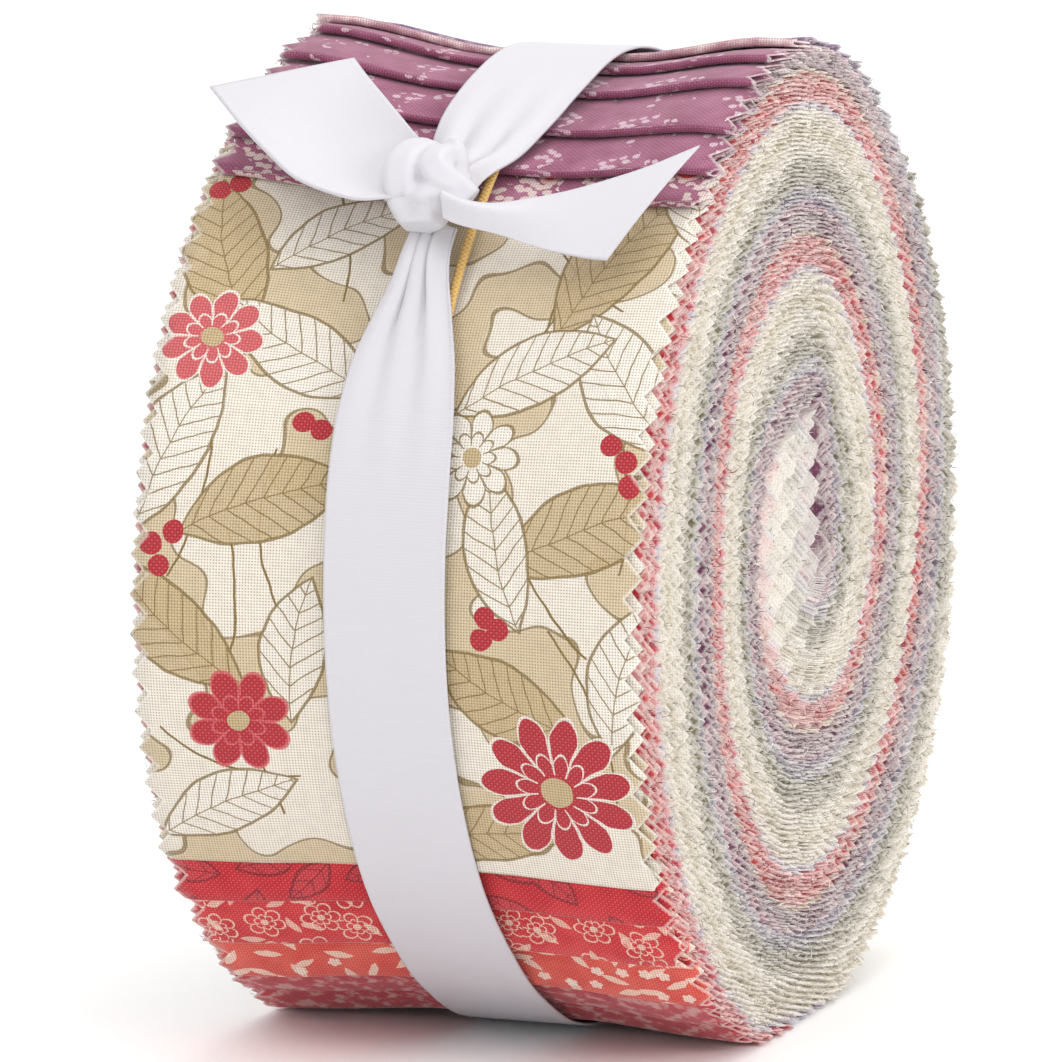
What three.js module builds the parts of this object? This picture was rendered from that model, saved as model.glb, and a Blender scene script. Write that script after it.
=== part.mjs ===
// A roll of pinked quilting strips, wound edge up, with a ribbon tied round it.
// Millimetres, +Z up. The roll's axis is along X, its open face looks along +X
// and its front, where the outermost strip shows, looks along -Y. The origin is
// on the surface it rests on, under the middle of the roll.
//
// A winding angle is 0 at the front, 90 at the bottom, 180 at the back and 270
// at the top, and it grows outward along the cloth, turn after turn.

import * as THREE from 'three';
import { mergeVertices } from 'three/addons/utils/BufferGeometryUtils.js';

const STRIP_WIDTH = 63.5;
const HALF_WIDTH = STRIP_WIDTH / 2;
const AXIS_HEIGHT = 58.7; // the flat spot is cut by the floor, this far under the axis
const AXIS_FORWARD = 1.6; // the roll is a little deeper behind its axis than in front of it
const RADIAN = Math.PI / 180;

// Pinked edges
const TOOTH_COUNT = 79; // round the roll, 4.75 mm apart at its rim
const HALF_TOOTH = 360 / (2 * TOOTH_COUNT);
const TOOTH_DEPTH = 2.0;
const TOOTH_MARGIN = 0.35; // degrees, so that no tooth starts beside the end of a strip

// Loose strip ends, each folded double
const END_THICKNESS = 1.2;
const GAP = 0.3;
const LAYER_STEP = END_THICKNESS + GAP;
const TAIL_OVERLAP = 3; // degrees that an end reaches back under the one above it
const GAP_ANGLE = 0.3; // degrees, GAP at the rim
const NOSE_ANGLE = 0.55; // degrees that the rounded fold takes

// The stack's outer face, turn by turn. Angles are 45 degrees apart.
const WINDING_STEP = 45;
const WINDING_START = -45;
const WINDING = [
  { angle: -45, radius: 17.4 },
  { angle: 0, radius: 17.0 },
  { angle: 45, radius: 18.8 },
  { angle: 90, radius: 22.5 },
  { angle: 135, radius: 29.0 },
  { angle: 180, radius: 34.0 },
  { angle: 225, radius: 35.4 },
  { angle: 270, radius: 38.7 },
  { angle: 315, radius: 37.5 },
  { angle: 360, radius: 33.5 },
  { angle: 405, radius: 37.1 },
  { angle: 450, radius: 44.6 },
  { angle: 495, radius: 47.2 },
  { angle: 540, radius: 50.2 },
  { angle: 585, radius: 53.2 },
  { angle: 630, radius: 58.2 },
  { angle: 675, radius: 57.9 },
];

// The stack's inner face on its first turn, round the small hollow: y, and z above the axis.
const CORE = [
  { angle: -45, y: 4.5, z: 16.4 },
  { angle: 0, y: 5.6, z: 1.0 },
  { angle: 45, y: 5.4, z: -3.2 },
  { angle: 90, y: 7.2, z: -5.0 },
  { angle: 135, y: 9.2, z: -3.6 },
  { angle: 180, y: 9.0, z: 0.2 },
  { angle: 225, y: 7.4, z: 9.0 },
  { angle: 270, y: 5.2, z: 17.4 },
];
const HOLLOW = { y: 7.3, z: -2.3, reach: 3.5, depth: 5 };

// The outer surface where the ends of the inner strips lie, round the back.
const BACK_STEP = 15;
const BACK_START = 45;
const BACK = [
  { angle: 45, radius: 57.4 },
  { angle: 60, radius: 58.2 },
  { angle: 75, radius: 60.0 },
  { angle: 90, radius: 59.3 },
  { angle: 105, radius: 60.2 },
  { angle: 120, radius: 61.5 },
  { angle: 135, radius: 62.3 },
  { angle: 150, radius: 62.8 },
  { angle: 165, radius: 62.6 },
  { angle: 180, radius: 61.9 },
  { angle: 195, radius: 60.9 },
  { angle: 210, radius: 59.6 },
  { angle: 225, radius: 58.8 },
  { angle: 240, radius: 59.3 },
  { angle: 255, radius: 60.8 },
  { angle: 270, radius: 61.6 },
  { angle: 285, radius: 61.6 },
];
const BACK_FOLDS = 30;
const FOLDS_FROM = 264;
const HALF_TEETH_PER_FOLD = 3;
const FOLD_STEP = 0.8;

// The ends that show, from the one at the top of the roll forward and down.
// fold is the winding angle of the folded end, radius that of its upper surface.
const ENDS = [
  { name: 'strip_end_mauve', fold: 273, radius: 62.5, phase: 0.0, colour: 0xc79aa6 },
  { name: 'strip_end_plum_1', fold: 279, radius: 61.7, phase: 0.7, colour: 0x8a4f74 },
  { name: 'strip_end_plum_2', fold: 287.5, radius: 60.8, phase: 1.3, colour: 0x8f5579 },
  { name: 'strip_end_plum_3', fold: 297, radius: 60.1, phase: 0.4, colour: 0x84496d },
  { name: 'strip_end_plum_4', fold: 305.5, radius: 59.7, phase: 1.7, colour: 0x93607f },
  { name: 'strip_end_plum_5', fold: 310, radius: 59.3, phase: 1.0, colour: 0x8b4c62 },
  { name: 'strip_front_cream', fold: 394, radius: 60.0, phase: 0.0, colour: 0xcdbd9f },
  { name: 'strip_end_red_1', fold: 401, radius: 59.6, phase: 1.1, colour: 0xb92233 },
  { name: 'strip_end_red_2', fold: 410, radius: 59.4, phase: 0.5, colour: 0xb3202f },
  { name: 'strip_end_coral', fold: 419.06, radius: 59.8, phase: 1.5, colour: 0xc9504c },
];
const CHAIN_END = ENDS[ENDS.length - 1].fold;

// The roll is drawn in under the ribbon, into a flat-bottomed seat.
const WAIST_STEP = 45;
const WAIST = [
  { angle: 0, depth: 1.4 },
  { angle: 45, depth: 1.3 },
  { angle: 90, depth: 1.4 },
  { angle: 135, depth: 1.3 },
  { angle: 180, depth: 1.5 },
  { angle: 225, depth: 1.9 },
  { angle: 270, depth: 3.0 },
  { angle: 315, depth: 2.3 },
];
const ELASTIC = { x: 3.4, width: 1.0, thickness: 0.7, grooveDepth: 1.0 };
const GROOVE_FLOOR = ELASTIC.width / 2 + 0.1;
const GROOVE_MOUTH = ELASTIC.width / 2 + 0.7;
const STATIONS = [
  { x: -16, seat: 0, groove: 0 },
  { x: -9.5, seat: 1, groove: 0 },
  { x: ELASTIC.x - GROOVE_MOUTH, seat: 1, groove: 0 },
  { x: ELASTIC.x - GROOVE_FLOOR, seat: 1, groove: 1 },
  { x: ELASTIC.x + GROOVE_FLOOR, seat: 1, groove: 1 },
  { x: ELASTIC.x + GROOVE_MOUTH, seat: 1, groove: 0 },
  { x: 10.5, seat: 1, groove: 0 },
  { x: 17, seat: 0, groove: 0 },
];

// Ribbon, a narrow satin one, gathered towards its knot
const RIBBON = {
  width: 15,
  thickness: 1.0,
  centre: 0.8,
  slant: 1.5,
  slantAngle: 95,
  gatheredWidth: 4.4,
  gatherFrom: 7,
  gatherTo: 20,
};
const KNOT = { angle: 312.3, x: -0.8, halfWidth: 5.7, halfLength: 6.2, halfHeight: 3.6, lift: 0.2 };
const KNOT_WRAPS = { count: 3, height: 0.07, twist: 2.2 };
const KNOT_SEGMENTS = { round: 20, across: 14 };

// Edges of the ribbon's free ends, from the knot outward. angle is a winding angle.
const TAIL_THICKNESS = 1.0;
const TAIL_LEFT = [
  { upperX: -6.1, upperAngle: 308.5, lowerX: -6.6, lowerAngle: 312.5, radius: 63.2 },
  { upperX: -9.2, upperAngle: 304.5, lowerX: -12.4, lowerAngle: 313.6, radius: 63.6 },
  { upperX: -11.6, upperAngle: 300.5, lowerX: -18.3, lowerAngle: 311.6, radius: 64.0 },
  { upperX: -13.8, upperAngle: 297.4, lowerX: -25.4, lowerAngle: 305.6, radius: 64.5 },
  { upperX: -15.8, upperAngle: 294.6, lowerX: -31.6, lowerAngle: 301.1, radius: 65.0 },
];
const TAIL_RIGHT = [
  { upperX: 5.9, upperAngle: 312.2, lowerX: 5.9, lowerAngle: 316.6, radius: 63.0 },
  { upperX: 10.5, upperAngle: 311.8, lowerX: 10.0, lowerAngle: 317.8, radius: 63.2 },
  { upperX: 17.0, upperAngle: 309.8, lowerX: 14.5, lowerAngle: 318.5, radius: 63.3 },
  { upperX: 24.0, upperAngle: 307.2, lowerX: 19.2, lowerAngle: 318.7, radius: 63.4 },
  { upperX: 30.7, upperAngle: 304.1, lowerX: 23.2, lowerAngle: 318.7, radius: 63.5 },
];

// Relief of the open faces: a groove between turns, each turn's edge proud of it.
const CREST_DEPTH = 0.5;
const GROOVE_DEPTH = 1.9;
const FULL_RELIEF_WIDTH = 4;
const FACE_LINES = [
  { share: 0, crest: 0 },
  { share: 0.16, crest: 0.75 },
  { share: 0.5, crest: 1 },
  { share: 0.84, crest: 0.75 },
  { share: 1, crest: 0 },
];
const FACE_RAYS = 48;
const RIM_INSET = 1.5;
const RIM_WINDOW = 8; // degrees
const RIM_MET_FROM = 585; // from this winding angle on, the last turn tapers into the rim

const HOOP_STEPS = 72;
const ENVELOPE_WINDOW = 5; // degrees
const ENVELOPE_STEP = 0.25;
const MERGE_DISTANCE = 1e-3;
const SAME_PLACE = 0.05; // degrees or millimetres
const JUST_BESIDE = 0.01; // degrees

// Even-spaced table rows, joined by a smooth curve.
function smoothColumn(rows, column, start, step, angle, closed) {
  const place = (angle - start) / step;
  const base = Math.floor(place);
  const part = place - base;
  const pick = (index) => {
    if (closed) {
      return rows[((index % rows.length) + rows.length) % rows.length][column];
    }
    return rows[Math.min(Math.max(index, 0), rows.length - 1)][column];
  };
  const before = pick(base - 1);
  const from = pick(base);
  const to = pick(base + 1);
  const after = pick(base + 2);
  const slopeFrom = (to - before) / 2;
  const slopeTo = (after - from) / 2;
  const square = part * part;
  const cube = square * part;
  return (
    from * (2 * cube - 3 * square + 1) +
    slopeFrom * (cube - 2 * square + part) +
    to * (3 * square - 2 * cube) +
    slopeTo * (cube - square)
  );
}

const wrap = (angle) => ((angle % 360) + 360) % 360;

// An angle inside the chain of loose ends, which starts at FOLDS_FROM.
const chainAngle = (angle) => FOLDS_FROM + wrap(angle - FOLDS_FROM);

const waistDepth = (angle) => smoothColumn(WAIST, 'depth', 0, WAIST_STEP, wrap(angle), true);

const facePoint = (angle, radius) => [
  -radius * Math.cos(angle * RADIAN),
  -radius * Math.sin(angle * RADIAN),
];

// 0 on a tooth's tip and 1 in the notch beside it
function notch(angle, phase) {
  const place = Math.abs((angle / HALF_TOOTH + phase) % 2);
  return place > 1 ? 2 - place : place;
}

const edgeX = (angle, phase) => HALF_WIDTH - TOOTH_DEPTH * notch(angle, phase);

// The radius at which the floor is met, near the bottom of the roll.
function floorRadius(angle) {
  const drop = Math.sin(angle * RADIAN);
  return drop > 0 ? AXIS_HEIGHT / drop : Infinity;
}

// The roll's own surface round the back, with one low step for each folded end.
function backRadius(angle) {
  const at = wrap(angle);
  const interval = HALF_TEETH_PER_FOLD * HALF_TOOTH;
  const place = (FOLDS_FROM - at) / interval;
  const rise = Math.ceil(place) - place - 0.5;
  const radius = smoothColumn(BACK, 'radius', BACK_START, BACK_STEP, at, false);
  return Math.min(radius + FOLD_STEP * rise, floorRadius(at));
}

// The upper surface of loose end number index. Under the end above it, it runs
// parallel to that one.
function endRadius(index, angle) {
  const end = ENDS[index];
  if (index === 0) {
    const start = backRadius(FOLDS_FROM);
    return start + ((end.radius - start) * (angle - FOLDS_FROM)) / (end.fold - FOLDS_FROM);
  }
  const above = ENDS[index - 1];
  if (angle < above.fold) {
    return endRadius(index - 1, angle) - LAYER_STEP;
  }
  const start = above.radius - LAYER_STEP;
  return start + ((end.radius - start) * (angle - above.fold)) / (end.fold - above.fold);
}

const tailAngle = (index) =>
  index === 0 ? FOLDS_FROM + GAP_ANGLE : ENDS[index - 1].fold - TAIL_OVERLAP;

// The outermost surface of the wound cloth, the loose ends among it.
function topRadius(angle) {
  const at = chainAngle(angle);
  const index = ENDS.findIndex((end) => at <= end.fold);
  return index < 0 ? backRadius(at) : endRadius(index, at);
}

// Angles at which an edge has a tip or a notch, between two angles.
function toothAngles(from, to, phase) {
  const angles = [];
  const first = Math.ceil(from / HALF_TOOTH + phase);
  for (let count = first; (count - phase) * HALF_TOOTH < to; count += 1) {
    angles.push((count - phase) * HALF_TOOTH);
  }
  return angles;
}

// The roll's own outline, once round from FOLDS_FROM: under the loose ends, then
// down the steps of the back.
function rollOutline() {
  const points = [];
  const add = (angle, radius) => {
    const last = points[points.length - 1];
    const repeats =
      last &&
      Math.abs(last.angle - angle) < SAME_PLACE &&
      Math.abs(last.radius - radius) < SAME_PLACE;
    if (!repeats) {
      points.push({ angle, radius });
    }
  };
  ENDS.forEach((end, index) => {
    const from = tailAngle(index) - GAP_ANGLE;
    const isLast = index === ENDS.length - 1;
    const to = isLast ? CHAIN_END : tailAngle(index + 1) - GAP_ANGLE;
    const teeth = toothAngles(from + TOOTH_MARGIN, to - TOOTH_MARGIN, 0);
    for (const angle of [from, ...teeth, to]) {
      add(angle, endRadius(index, angle) - LAYER_STEP);
    }
  });
  const interval = HALF_TEETH_PER_FOLD * HALF_TOOTH;
  for (let fold = BACK_FOLDS; fold > 0; fold -= 1) {
    const from = FOLDS_FROM + 360 - fold * interval;
    for (let tooth = 0; tooth <= HALF_TEETH_PER_FOLD; tooth += 1) {
      const angle = from + tooth * HALF_TOOTH;
      const inward = Math.sign(HALF_TEETH_PER_FOLD / 2 - tooth);
      add(angle, backRadius(angle + inward * JUST_BESIDE));
    }
  }
  return points;
}

function station(angle, radius, atStation, phase) {
  let x = atStation.x;
  let sunk = atStation.seat * waistDepth(angle) + atStation.groove * ELASTIC.grooveDepth;
  if (atStation.side) {
    x = atStation.side * edgeX(angle, phase);
    sunk = 0;
  }
  const [y, z] = facePoint(angle, radius - sunk);
  return [x, y, Math.max(z + AXIS_HEIGHT, 0)];
}

const SWEEP = [{ side: -1 }, ...STATIONS, { side: 1 }];

// Triangles as a closed geometry with shared vertices, spent ones left out.
function closedGeometry(triangles) {
  const geometry = new THREE.BufferGeometry();
  const positions = triangles.flat(2);
  geometry.setAttribute('position', new THREE.Float32BufferAttribute(positions, 3));
  const merged = mergeVertices(geometry, MERGE_DISTANCE);
  const index = merged.index.array;
  const kept = [];
  for (let corner = 0; corner < index.length; corner += 3) {
    const [a, b, c] = [index[corner], index[corner + 1], index[corner + 2]];
    if (a !== b && b !== c && c !== a) {
      kept.push(a, b, c);
    }
  }
  merged.setIndex(kept);
  merged.computeVertexNormals();
  return merged;
}

// The side of a section swept across the cloth: loop is a closed list of
// { angle, radius }, going round it in the winding sense on its outer side.
function sweptSide(loop, phase) {
  const triangles = [];
  loop.forEach((point, index) => {
    const next = loop[(index + 1) % loop.length];
    for (let step = 0; step + 1 < SWEEP.length; step += 1) {
      const a = station(point.angle, point.radius, SWEEP[step], phase);
      const b = station(next.angle, next.radius, SWEEP[step], phase);
      const c = station(next.angle, next.radius, SWEEP[step + 1], phase);
      const d = station(point.angle, point.radius, SWEEP[step + 1], phase);
      triangles.push([a, b, c], [a, c, d]);
    }
  });
  return triangles;
}

// One folded end: its upper surface, its rounded fold and its underside.
function stripEnd(index) {
  const end = ENDS[index];
  const tail = tailAngle(index);
  const last = end.fold - NOSE_ANGLE;
  const teeth = toothAngles(tail + TOOTH_MARGIN, last - TOOTH_MARGIN, end.phase);
  const angles = [tail, ...teeth, last];
  const upper = angles.map((angle) => ({ angle, radius: endRadius(index, angle) }));
  const lower = upper.map(({ angle, radius }) => ({ angle, radius: radius - END_THICKNESS }));
  const nose = { angle: end.fold, radius: end.radius - END_THICKNESS / 2 };
  const loop = [...upper, nose, ...[...lower].reverse()];
  const triangles = sweptSide(loop, end.phase);
  for (const side of [-1, 1]) {
    const at = (point) => station(point.angle, point.radius, { side }, end.phase);
    const add = (a, b, c) => triangles.push(side > 0 ? [a, b, c] : [a, c, b]);
    for (let step = 0; step + 1 < upper.length; step += 1) {
      add(at(lower[step]), at(upper[step]), at(upper[step + 1]));
      add(at(lower[step]), at(upper[step + 1]), at(lower[step + 1]));
    }
    add(at(lower[lower.length - 1]), at(upper[upper.length - 1]), at(nose));
  }
  return closedGeometry(triangles);
}

// Points of the wound face, as [depth below the strips' full width, y, z].
function facePlacer(outline) {
  const rimRadius = (angle) => {
    const near = outline.filter((point) => {
      const apart = wrap(point.angle - angle + 180) - 180;
      return Math.abs(apart) <= RIM_WINDOW;
    });
    return Math.min(...near.map((point) => point.radius)) - RIM_INSET;
  };
  const turnRadius = (angle) => {
    const radius = smoothColumn(WINDING, 'radius', WINDING_START, WINDING_STEP, angle, false);
    return angle > RIM_MET_FROM ? Math.min(radius, rimRadius(angle)) : radius;
  };
  const lastTurnEnd = WINDING_START + 720;
  const outerFace = (angle) =>
    facePoint(angle, angle >= lastTurnEnd - 0.01 ? rimRadius(angle) : turnRadius(angle));
  const closing = [0, 45].map((more) => {
    const [y, z] = outerFace(WINDING_START + more);
    return { y, z };
  });
  const coreRows = [...CORE, ...closing];
  const innerFace = (angle) => {
    if (angle >= WINDING_START + 360) {
      return outerFace(angle - 360);
    }
    return ['y', 'z'].map((column) =>
      smoothColumn(coreRows, column, WINDING_START, WINDING_STEP, angle, false),
    );
  };
  return (angle, line) => {
    const [innerY, innerZ] = innerFace(angle);
    const [outerY, outerZ] = outerFace(angle);
    const y = innerY + (outerY - innerY) * line.share;
    const z = innerZ + (outerZ - innerZ) * line.share;
    const width = Math.hypot(outerY - innerY, outerZ - innerZ);
    const relief = line.crest * Math.min(1, width / FULL_RELIEF_WIDTH);
    const fromHollow = Math.hypot(y - HOLLOW.y, z - HOLLOW.z) / HOLLOW.reach;
    const hollow = HOLLOW.depth * Math.exp(-fromHollow * fromHollow);
    const depth = GROOVE_DEPTH - (GROOVE_DEPTH - CREST_DEPTH) * relief + hollow;
    return [depth, y, z];
  };
}

// The wound face as triangles that look along +X, in [depth, y, z].
function faceTriangles(outline) {
  const point = facePlacer(outline);
  const triangles = [];
  const step = 360 / FACE_RAYS;
  for (let turn = 0; turn < 3; turn += 1) {
    for (let ray = 0; ray < FACE_RAYS; ray += 1) {
      const from = WINDING_START + turn * 360 + ray * step;
      for (let line = 0; line + 1 < FACE_LINES.length; line += 1) {
        const a = point(from, FACE_LINES[line]);
        const b = point(from, FACE_LINES[line + 1]);
        const c = point(from + step, FACE_LINES[line + 1]);
        const d = point(from + step, FACE_LINES[line]);
        triangles.push([a, b, c], [a, c, d]);
      }
    }
  }

  // the hollow and the cut ends beside it
  const core = [];
  for (let ray = 0; ray <= FACE_RAYS; ray += 1) {
    core.push(point(WINDING_START + ray * step, FACE_LINES[0]));
  }
  for (let line = FACE_LINES.length - 2; line > 0; line -= 1) {
    core.push(point(WINDING_START, FACE_LINES[line]));
  }
  const contour = core.map(([, y, z]) => new THREE.Vector2(y, z));
  const isCounterClockwise = THREE.ShapeUtils.area(contour) > 0;
  for (const [a, b, c] of THREE.ShapeUtils.triangulateShape(contour, [])) {
    const corners = isCounterClockwise ? [a, b, c] : [a, c, b];
    triangles.push(corners.map((corner) => core[corner]));
  }

  // the rim: from the last ring of the face out to the pinked outline
  const ring = [];
  for (let ray = 0; ray <= FACE_RAYS; ray += 1) {
    const angle = WINDING_START + 720 + ray * step;
    ring.push({ angle: angle - 360, corner: point(angle, FACE_LINES[FACE_LINES.length - 1]) });
  }
  const ringStart = ring[0].angle;
  const shifted = outline.map((at) => ({
    angle: ringStart + wrap(at.angle - ringStart),
    corner: [HALF_WIDTH - edgeX(at.angle, 0), ...facePoint(at.angle, at.radius)],
    radius: at.radius,
  }));
  const firstPlace = shifted.reduce(
    (best, at, index) => (at.angle < shifted[best].angle ? index : best),
    0,
  );
  const rim = [...shifted.slice(firstPlace), ...shifted.slice(0, firstPlace)];
  rim.push({ ...rim[0], angle: rim[0].angle + 360 });
  let inner = 0;
  let outer = 0;
  while (inner + 1 < ring.length || outer + 1 < rim.length) {
    const innerNext = inner + 1 < ring.length ? ring[inner + 1].angle : Infinity;
    const outerNext = outer + 1 < rim.length ? rim[outer + 1].angle : Infinity;
    if (outerNext <= innerNext) {
      triangles.push([ring[inner].corner, rim[outer].corner, rim[outer + 1].corner]);
      outer += 1;
    } else {
      triangles.push([ring[inner].corner, rim[outer].corner, ring[inner + 1].corner]);
      inner += 1;
    }
  }
  return triangles;
}

function woundRoll() {
  const outline = rollOutline();
  const triangles = sweptSide(outline, 0);
  for (const triangle of faceTriangles(outline)) {
    const right = triangle.map(([depth, y, z]) => [
      HALF_WIDTH - depth,
      y,
      Math.max(z + AXIS_HEIGHT, 0),
    ]);
    const left = right.map(([x, y, z]) => [-x, y, z]);
    triangles.push(right, [left[0], left[2], left[1]]);
  }
  return closedGeometry(triangles);
}

// The highest surface near an angle, for a band that bridges the folded ends.
function bridgedRadius(angle) {
  let highest = 0;
  for (let away = -ENVELOPE_WINDOW; away <= ENVELOPE_WINDOW; away += ENVELOPE_STEP) {
    highest = Math.max(highest, topRadius(angle + away));
  }
  return highest;
}

// A closed band round the roll, from section(angle) = { x, half, inner, outer }.
function hoop(section) {
  const rings = [];
  for (let step = 0; step < HOOP_STEPS; step += 1) {
    const angle = (step * 360) / HOOP_STEPS;
    const { x, half, inner, outer } = section(angle);
    const corner = (across, radius) => {
      const [y, z] = facePoint(angle, radius);
      return [x + across, y, z + AXIS_HEIGHT];
    };
    rings.push([corner(-half, outer), corner(half, outer), corner(half, inner), corner(-half, inner)]);
  }
  const triangles = [];
  rings.forEach((ring, index) => {
    const next = rings[(index + 1) % rings.length];
    for (let side = 0; side < ring.length; side += 1) {
      const other = (side + 1) % ring.length;
      triangles.push([ring[side], next[side], next[other]], [ring[side], next[other], ring[other]]);
    }
  });
  return closedGeometry(triangles);
}

function smoothStep(from, to, value) {
  const share = Math.min(Math.max((value - from) / (to - from), 0), 1);
  return share * share * (3 - 2 * share);
}

const ribbonUnderside = (angle) => bridgedRadius(angle) - waistDepth(angle) + GAP;

function ribbonBand() {
  return hoop((angle) => {
    const slant = RIBBON.slant * Math.cos((angle - RIBBON.slantAngle) * RADIAN);
    const fromKnot = Math.abs(wrap(angle - KNOT.angle + 180) - 180);
    const full = smoothStep(RIBBON.gatherFrom, RIBBON.gatherTo, fromKnot);
    const width = RIBBON.gatheredWidth + (RIBBON.width - RIBBON.gatheredWidth) * full;
    const centre = RIBBON.centre + slant;
    const outer = Math.min(ribbonUnderside(angle) + RIBBON.thickness, floorRadius(angle));
    return {
      x: KNOT.x + (centre - KNOT.x) * full,
      half: width / 2,
      inner: outer - RIBBON.thickness,
      outer,
    };
  });
}

function elasticBand() {
  return hoop((angle) => {
    const outer = Math.min(ribbonUnderside(angle), floorRadius(angle) - RIBBON.thickness) - GAP;
    return { x: ELASTIC.x, half: ELASTIC.width / 2, inner: outer - ELASTIC.thickness, outer };
  });
}

const KNOT_BASE = ribbonUnderside(KNOT.angle) + RIBBON.thickness + GAP + KNOT.lift;

// A rounded knot with its wraps pressed into it.
function ribbonKnot() {
  const geometry = new THREE.SphereGeometry(1, KNOT_SEGMENTS.round, KNOT_SEGMENTS.across);
  geometry.deleteAttribute('normal');
  geometry.deleteAttribute('uv');
  const position = geometry.attributes.position;
  const centreRadius = KNOT_BASE + KNOT.halfHeight;
  const outward = new THREE.Vector3(0, ...facePoint(KNOT.angle, 1));
  const along = new THREE.Vector3(0, ...facePoint(KNOT.angle + 90, 1));
  const across = new THREE.Vector3(1, 0, 0);
  for (let index = 0; index < position.count; index += 1) {
    const unit = new THREE.Vector3().fromBufferAttribute(position, index);
    const turn = KNOT_WRAPS.count * Math.atan2(unit.z, unit.x) + KNOT_WRAPS.twist * unit.y;
    const wrapRidge = 1 + KNOT_WRAPS.height * Math.cos(turn);
    const place = new THREE.Vector3()
      .addScaledVector(across, unit.x * KNOT.halfWidth * wrapRidge + KNOT.x)
      .addScaledVector(along, unit.z * KNOT.halfLength * wrapRidge)
      .addScaledVector(outward, unit.y * KNOT.halfHeight + centreRadius);
    position.setXYZ(index, place.x, place.y, place.z + AXIS_HEIGHT);
  }
  return mergeVertices(geometry, MERGE_DISTANCE);
}

// A free end of the ribbon, as a thin slab between its two edges.
function ribbonTail(rows) {
  const corners = (row, lift) => {
    const [upperY, upperZ] = facePoint(row.upperAngle, row.radius - lift);
    const [lowerY, lowerZ] = facePoint(row.lowerAngle, row.radius - lift);
    const upper = [row.upperX, upperY, upperZ + AXIS_HEIGHT];
    const lower = [row.lowerX, lowerY, lowerZ + AXIS_HEIGHT];
    const middleAngle = (row.upperAngle + row.lowerAngle) / 2;
    const middleX = (row.upperX + row.lowerX) / 2;
    const [middleY, middleZ] = facePoint(middleAngle, row.radius - lift);
    return [upper, [middleX, middleY, middleZ + AXIS_HEIGHT], lower];
  };
  const rings = rows.map((row) => {
    const outer = corners(row, 0);
    const inner = corners(row, TAIL_THICKNESS);
    return [...outer, ...inner.reverse()];
  });
  const triangles = [];
  const size = rings[0].length;
  for (let step = 0; step + 1 < rings.length; step += 1) {
    for (let side = 0; side < size; side += 1) {
      const other = (side + 1) % size;
      const [a, b] = [rings[step][side], rings[step][other]];
      const [c, d] = [rings[step + 1][other], rings[step + 1][side]];
      triangles.push([a, b, c], [a, c, d]);
    }
  }
  const cap = (ring, flip) => {
    const half = size / 2;
    for (let step = 0; step + 1 < half; step += 1) {
      const quad = [ring[step], ring[step + 1], ring[size - 2 - step], ring[size - 1 - step]];
      const [a, b, c, d] = flip ? [...quad].reverse() : quad;
      triangles.push([a, b, c], [a, c, d]);
    }
  };
  cap(rings[0], true);
  cap(rings[rings.length - 1], false);
  return closedGeometry(triangles);
}

// Turns a closed geometry's faces outward if they look in.
function facedOut(geometry) {
  const index = geometry.index.array;
  const at = (corner) => new THREE.Vector3().fromBufferAttribute(geometry.attributes.position, corner);
  let volume = 0;
  for (let corner = 0; corner < index.length; corner += 3) {
    const [a, b, c] = [at(index[corner]), at(index[corner + 1]), at(index[corner + 2])];
    volume += a.dot(b.cross(c)) / 6;
  }
  if (volume < 0) {
    for (let corner = 0; corner < index.length; corner += 3) {
      [index[corner + 1], index[corner + 2]] = [index[corner + 2], index[corner + 1]];
    }
  }
  geometry.computeVertexNormals();
  return geometry;
}

const roll = new THREE.Group();

function addPiece(name, geometry, colour, roughness) {
  const material = new THREE.MeshStandardMaterial({ color: colour, roughness, metalness: 0 });
  const mesh = new THREE.Mesh(facedOut(geometry), material);
  mesh.name = name;
  mesh.position.y = -AXIS_FORWARD;
  roll.add(mesh);
}

addPiece('wound_strips', woundRoll(), 0xcbc0b4, 0.95);
ENDS.forEach((end, index) => addPiece(end.name, stripEnd(index), end.colour, 0.9));
addPiece('elastic_band', elasticBand(), 0xc9a869, 0.6);
addPiece('ribbon_band', ribbonBand(), 0xf2f2f4, 0.4);
addPiece('ribbon_knot', ribbonKnot(), 0xf2f2f4, 0.4);
addPiece('ribbon_tail_left', ribbonTail(TAIL_LEFT), 0xf2f2f4, 0.4);
addPiece('ribbon_tail_right', ribbonTail(TAIL_RIGHT), 0xf2f2f4, 0.4);

export default roll;
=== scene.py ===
# Dresses the roll of quilting strips: forty strips of printed cotton, each folded
# double and wound edge up in one spiral, with pinked and frayed edges, an elastic and
# a satin ribbon tied in a knot, on a pale floor under soft studio light.
#
# Sizes are in millimetres and angles in degrees until a mesh is made. A winding angle
# is 0 at the roll's front, 90 at the bottom, 180 at the back and 270 at the top, and it
# grows outward along the cloth, turn after turn.

import math

import bpy
import numpy as np
from mathutils import Matrix, Vector


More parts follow.
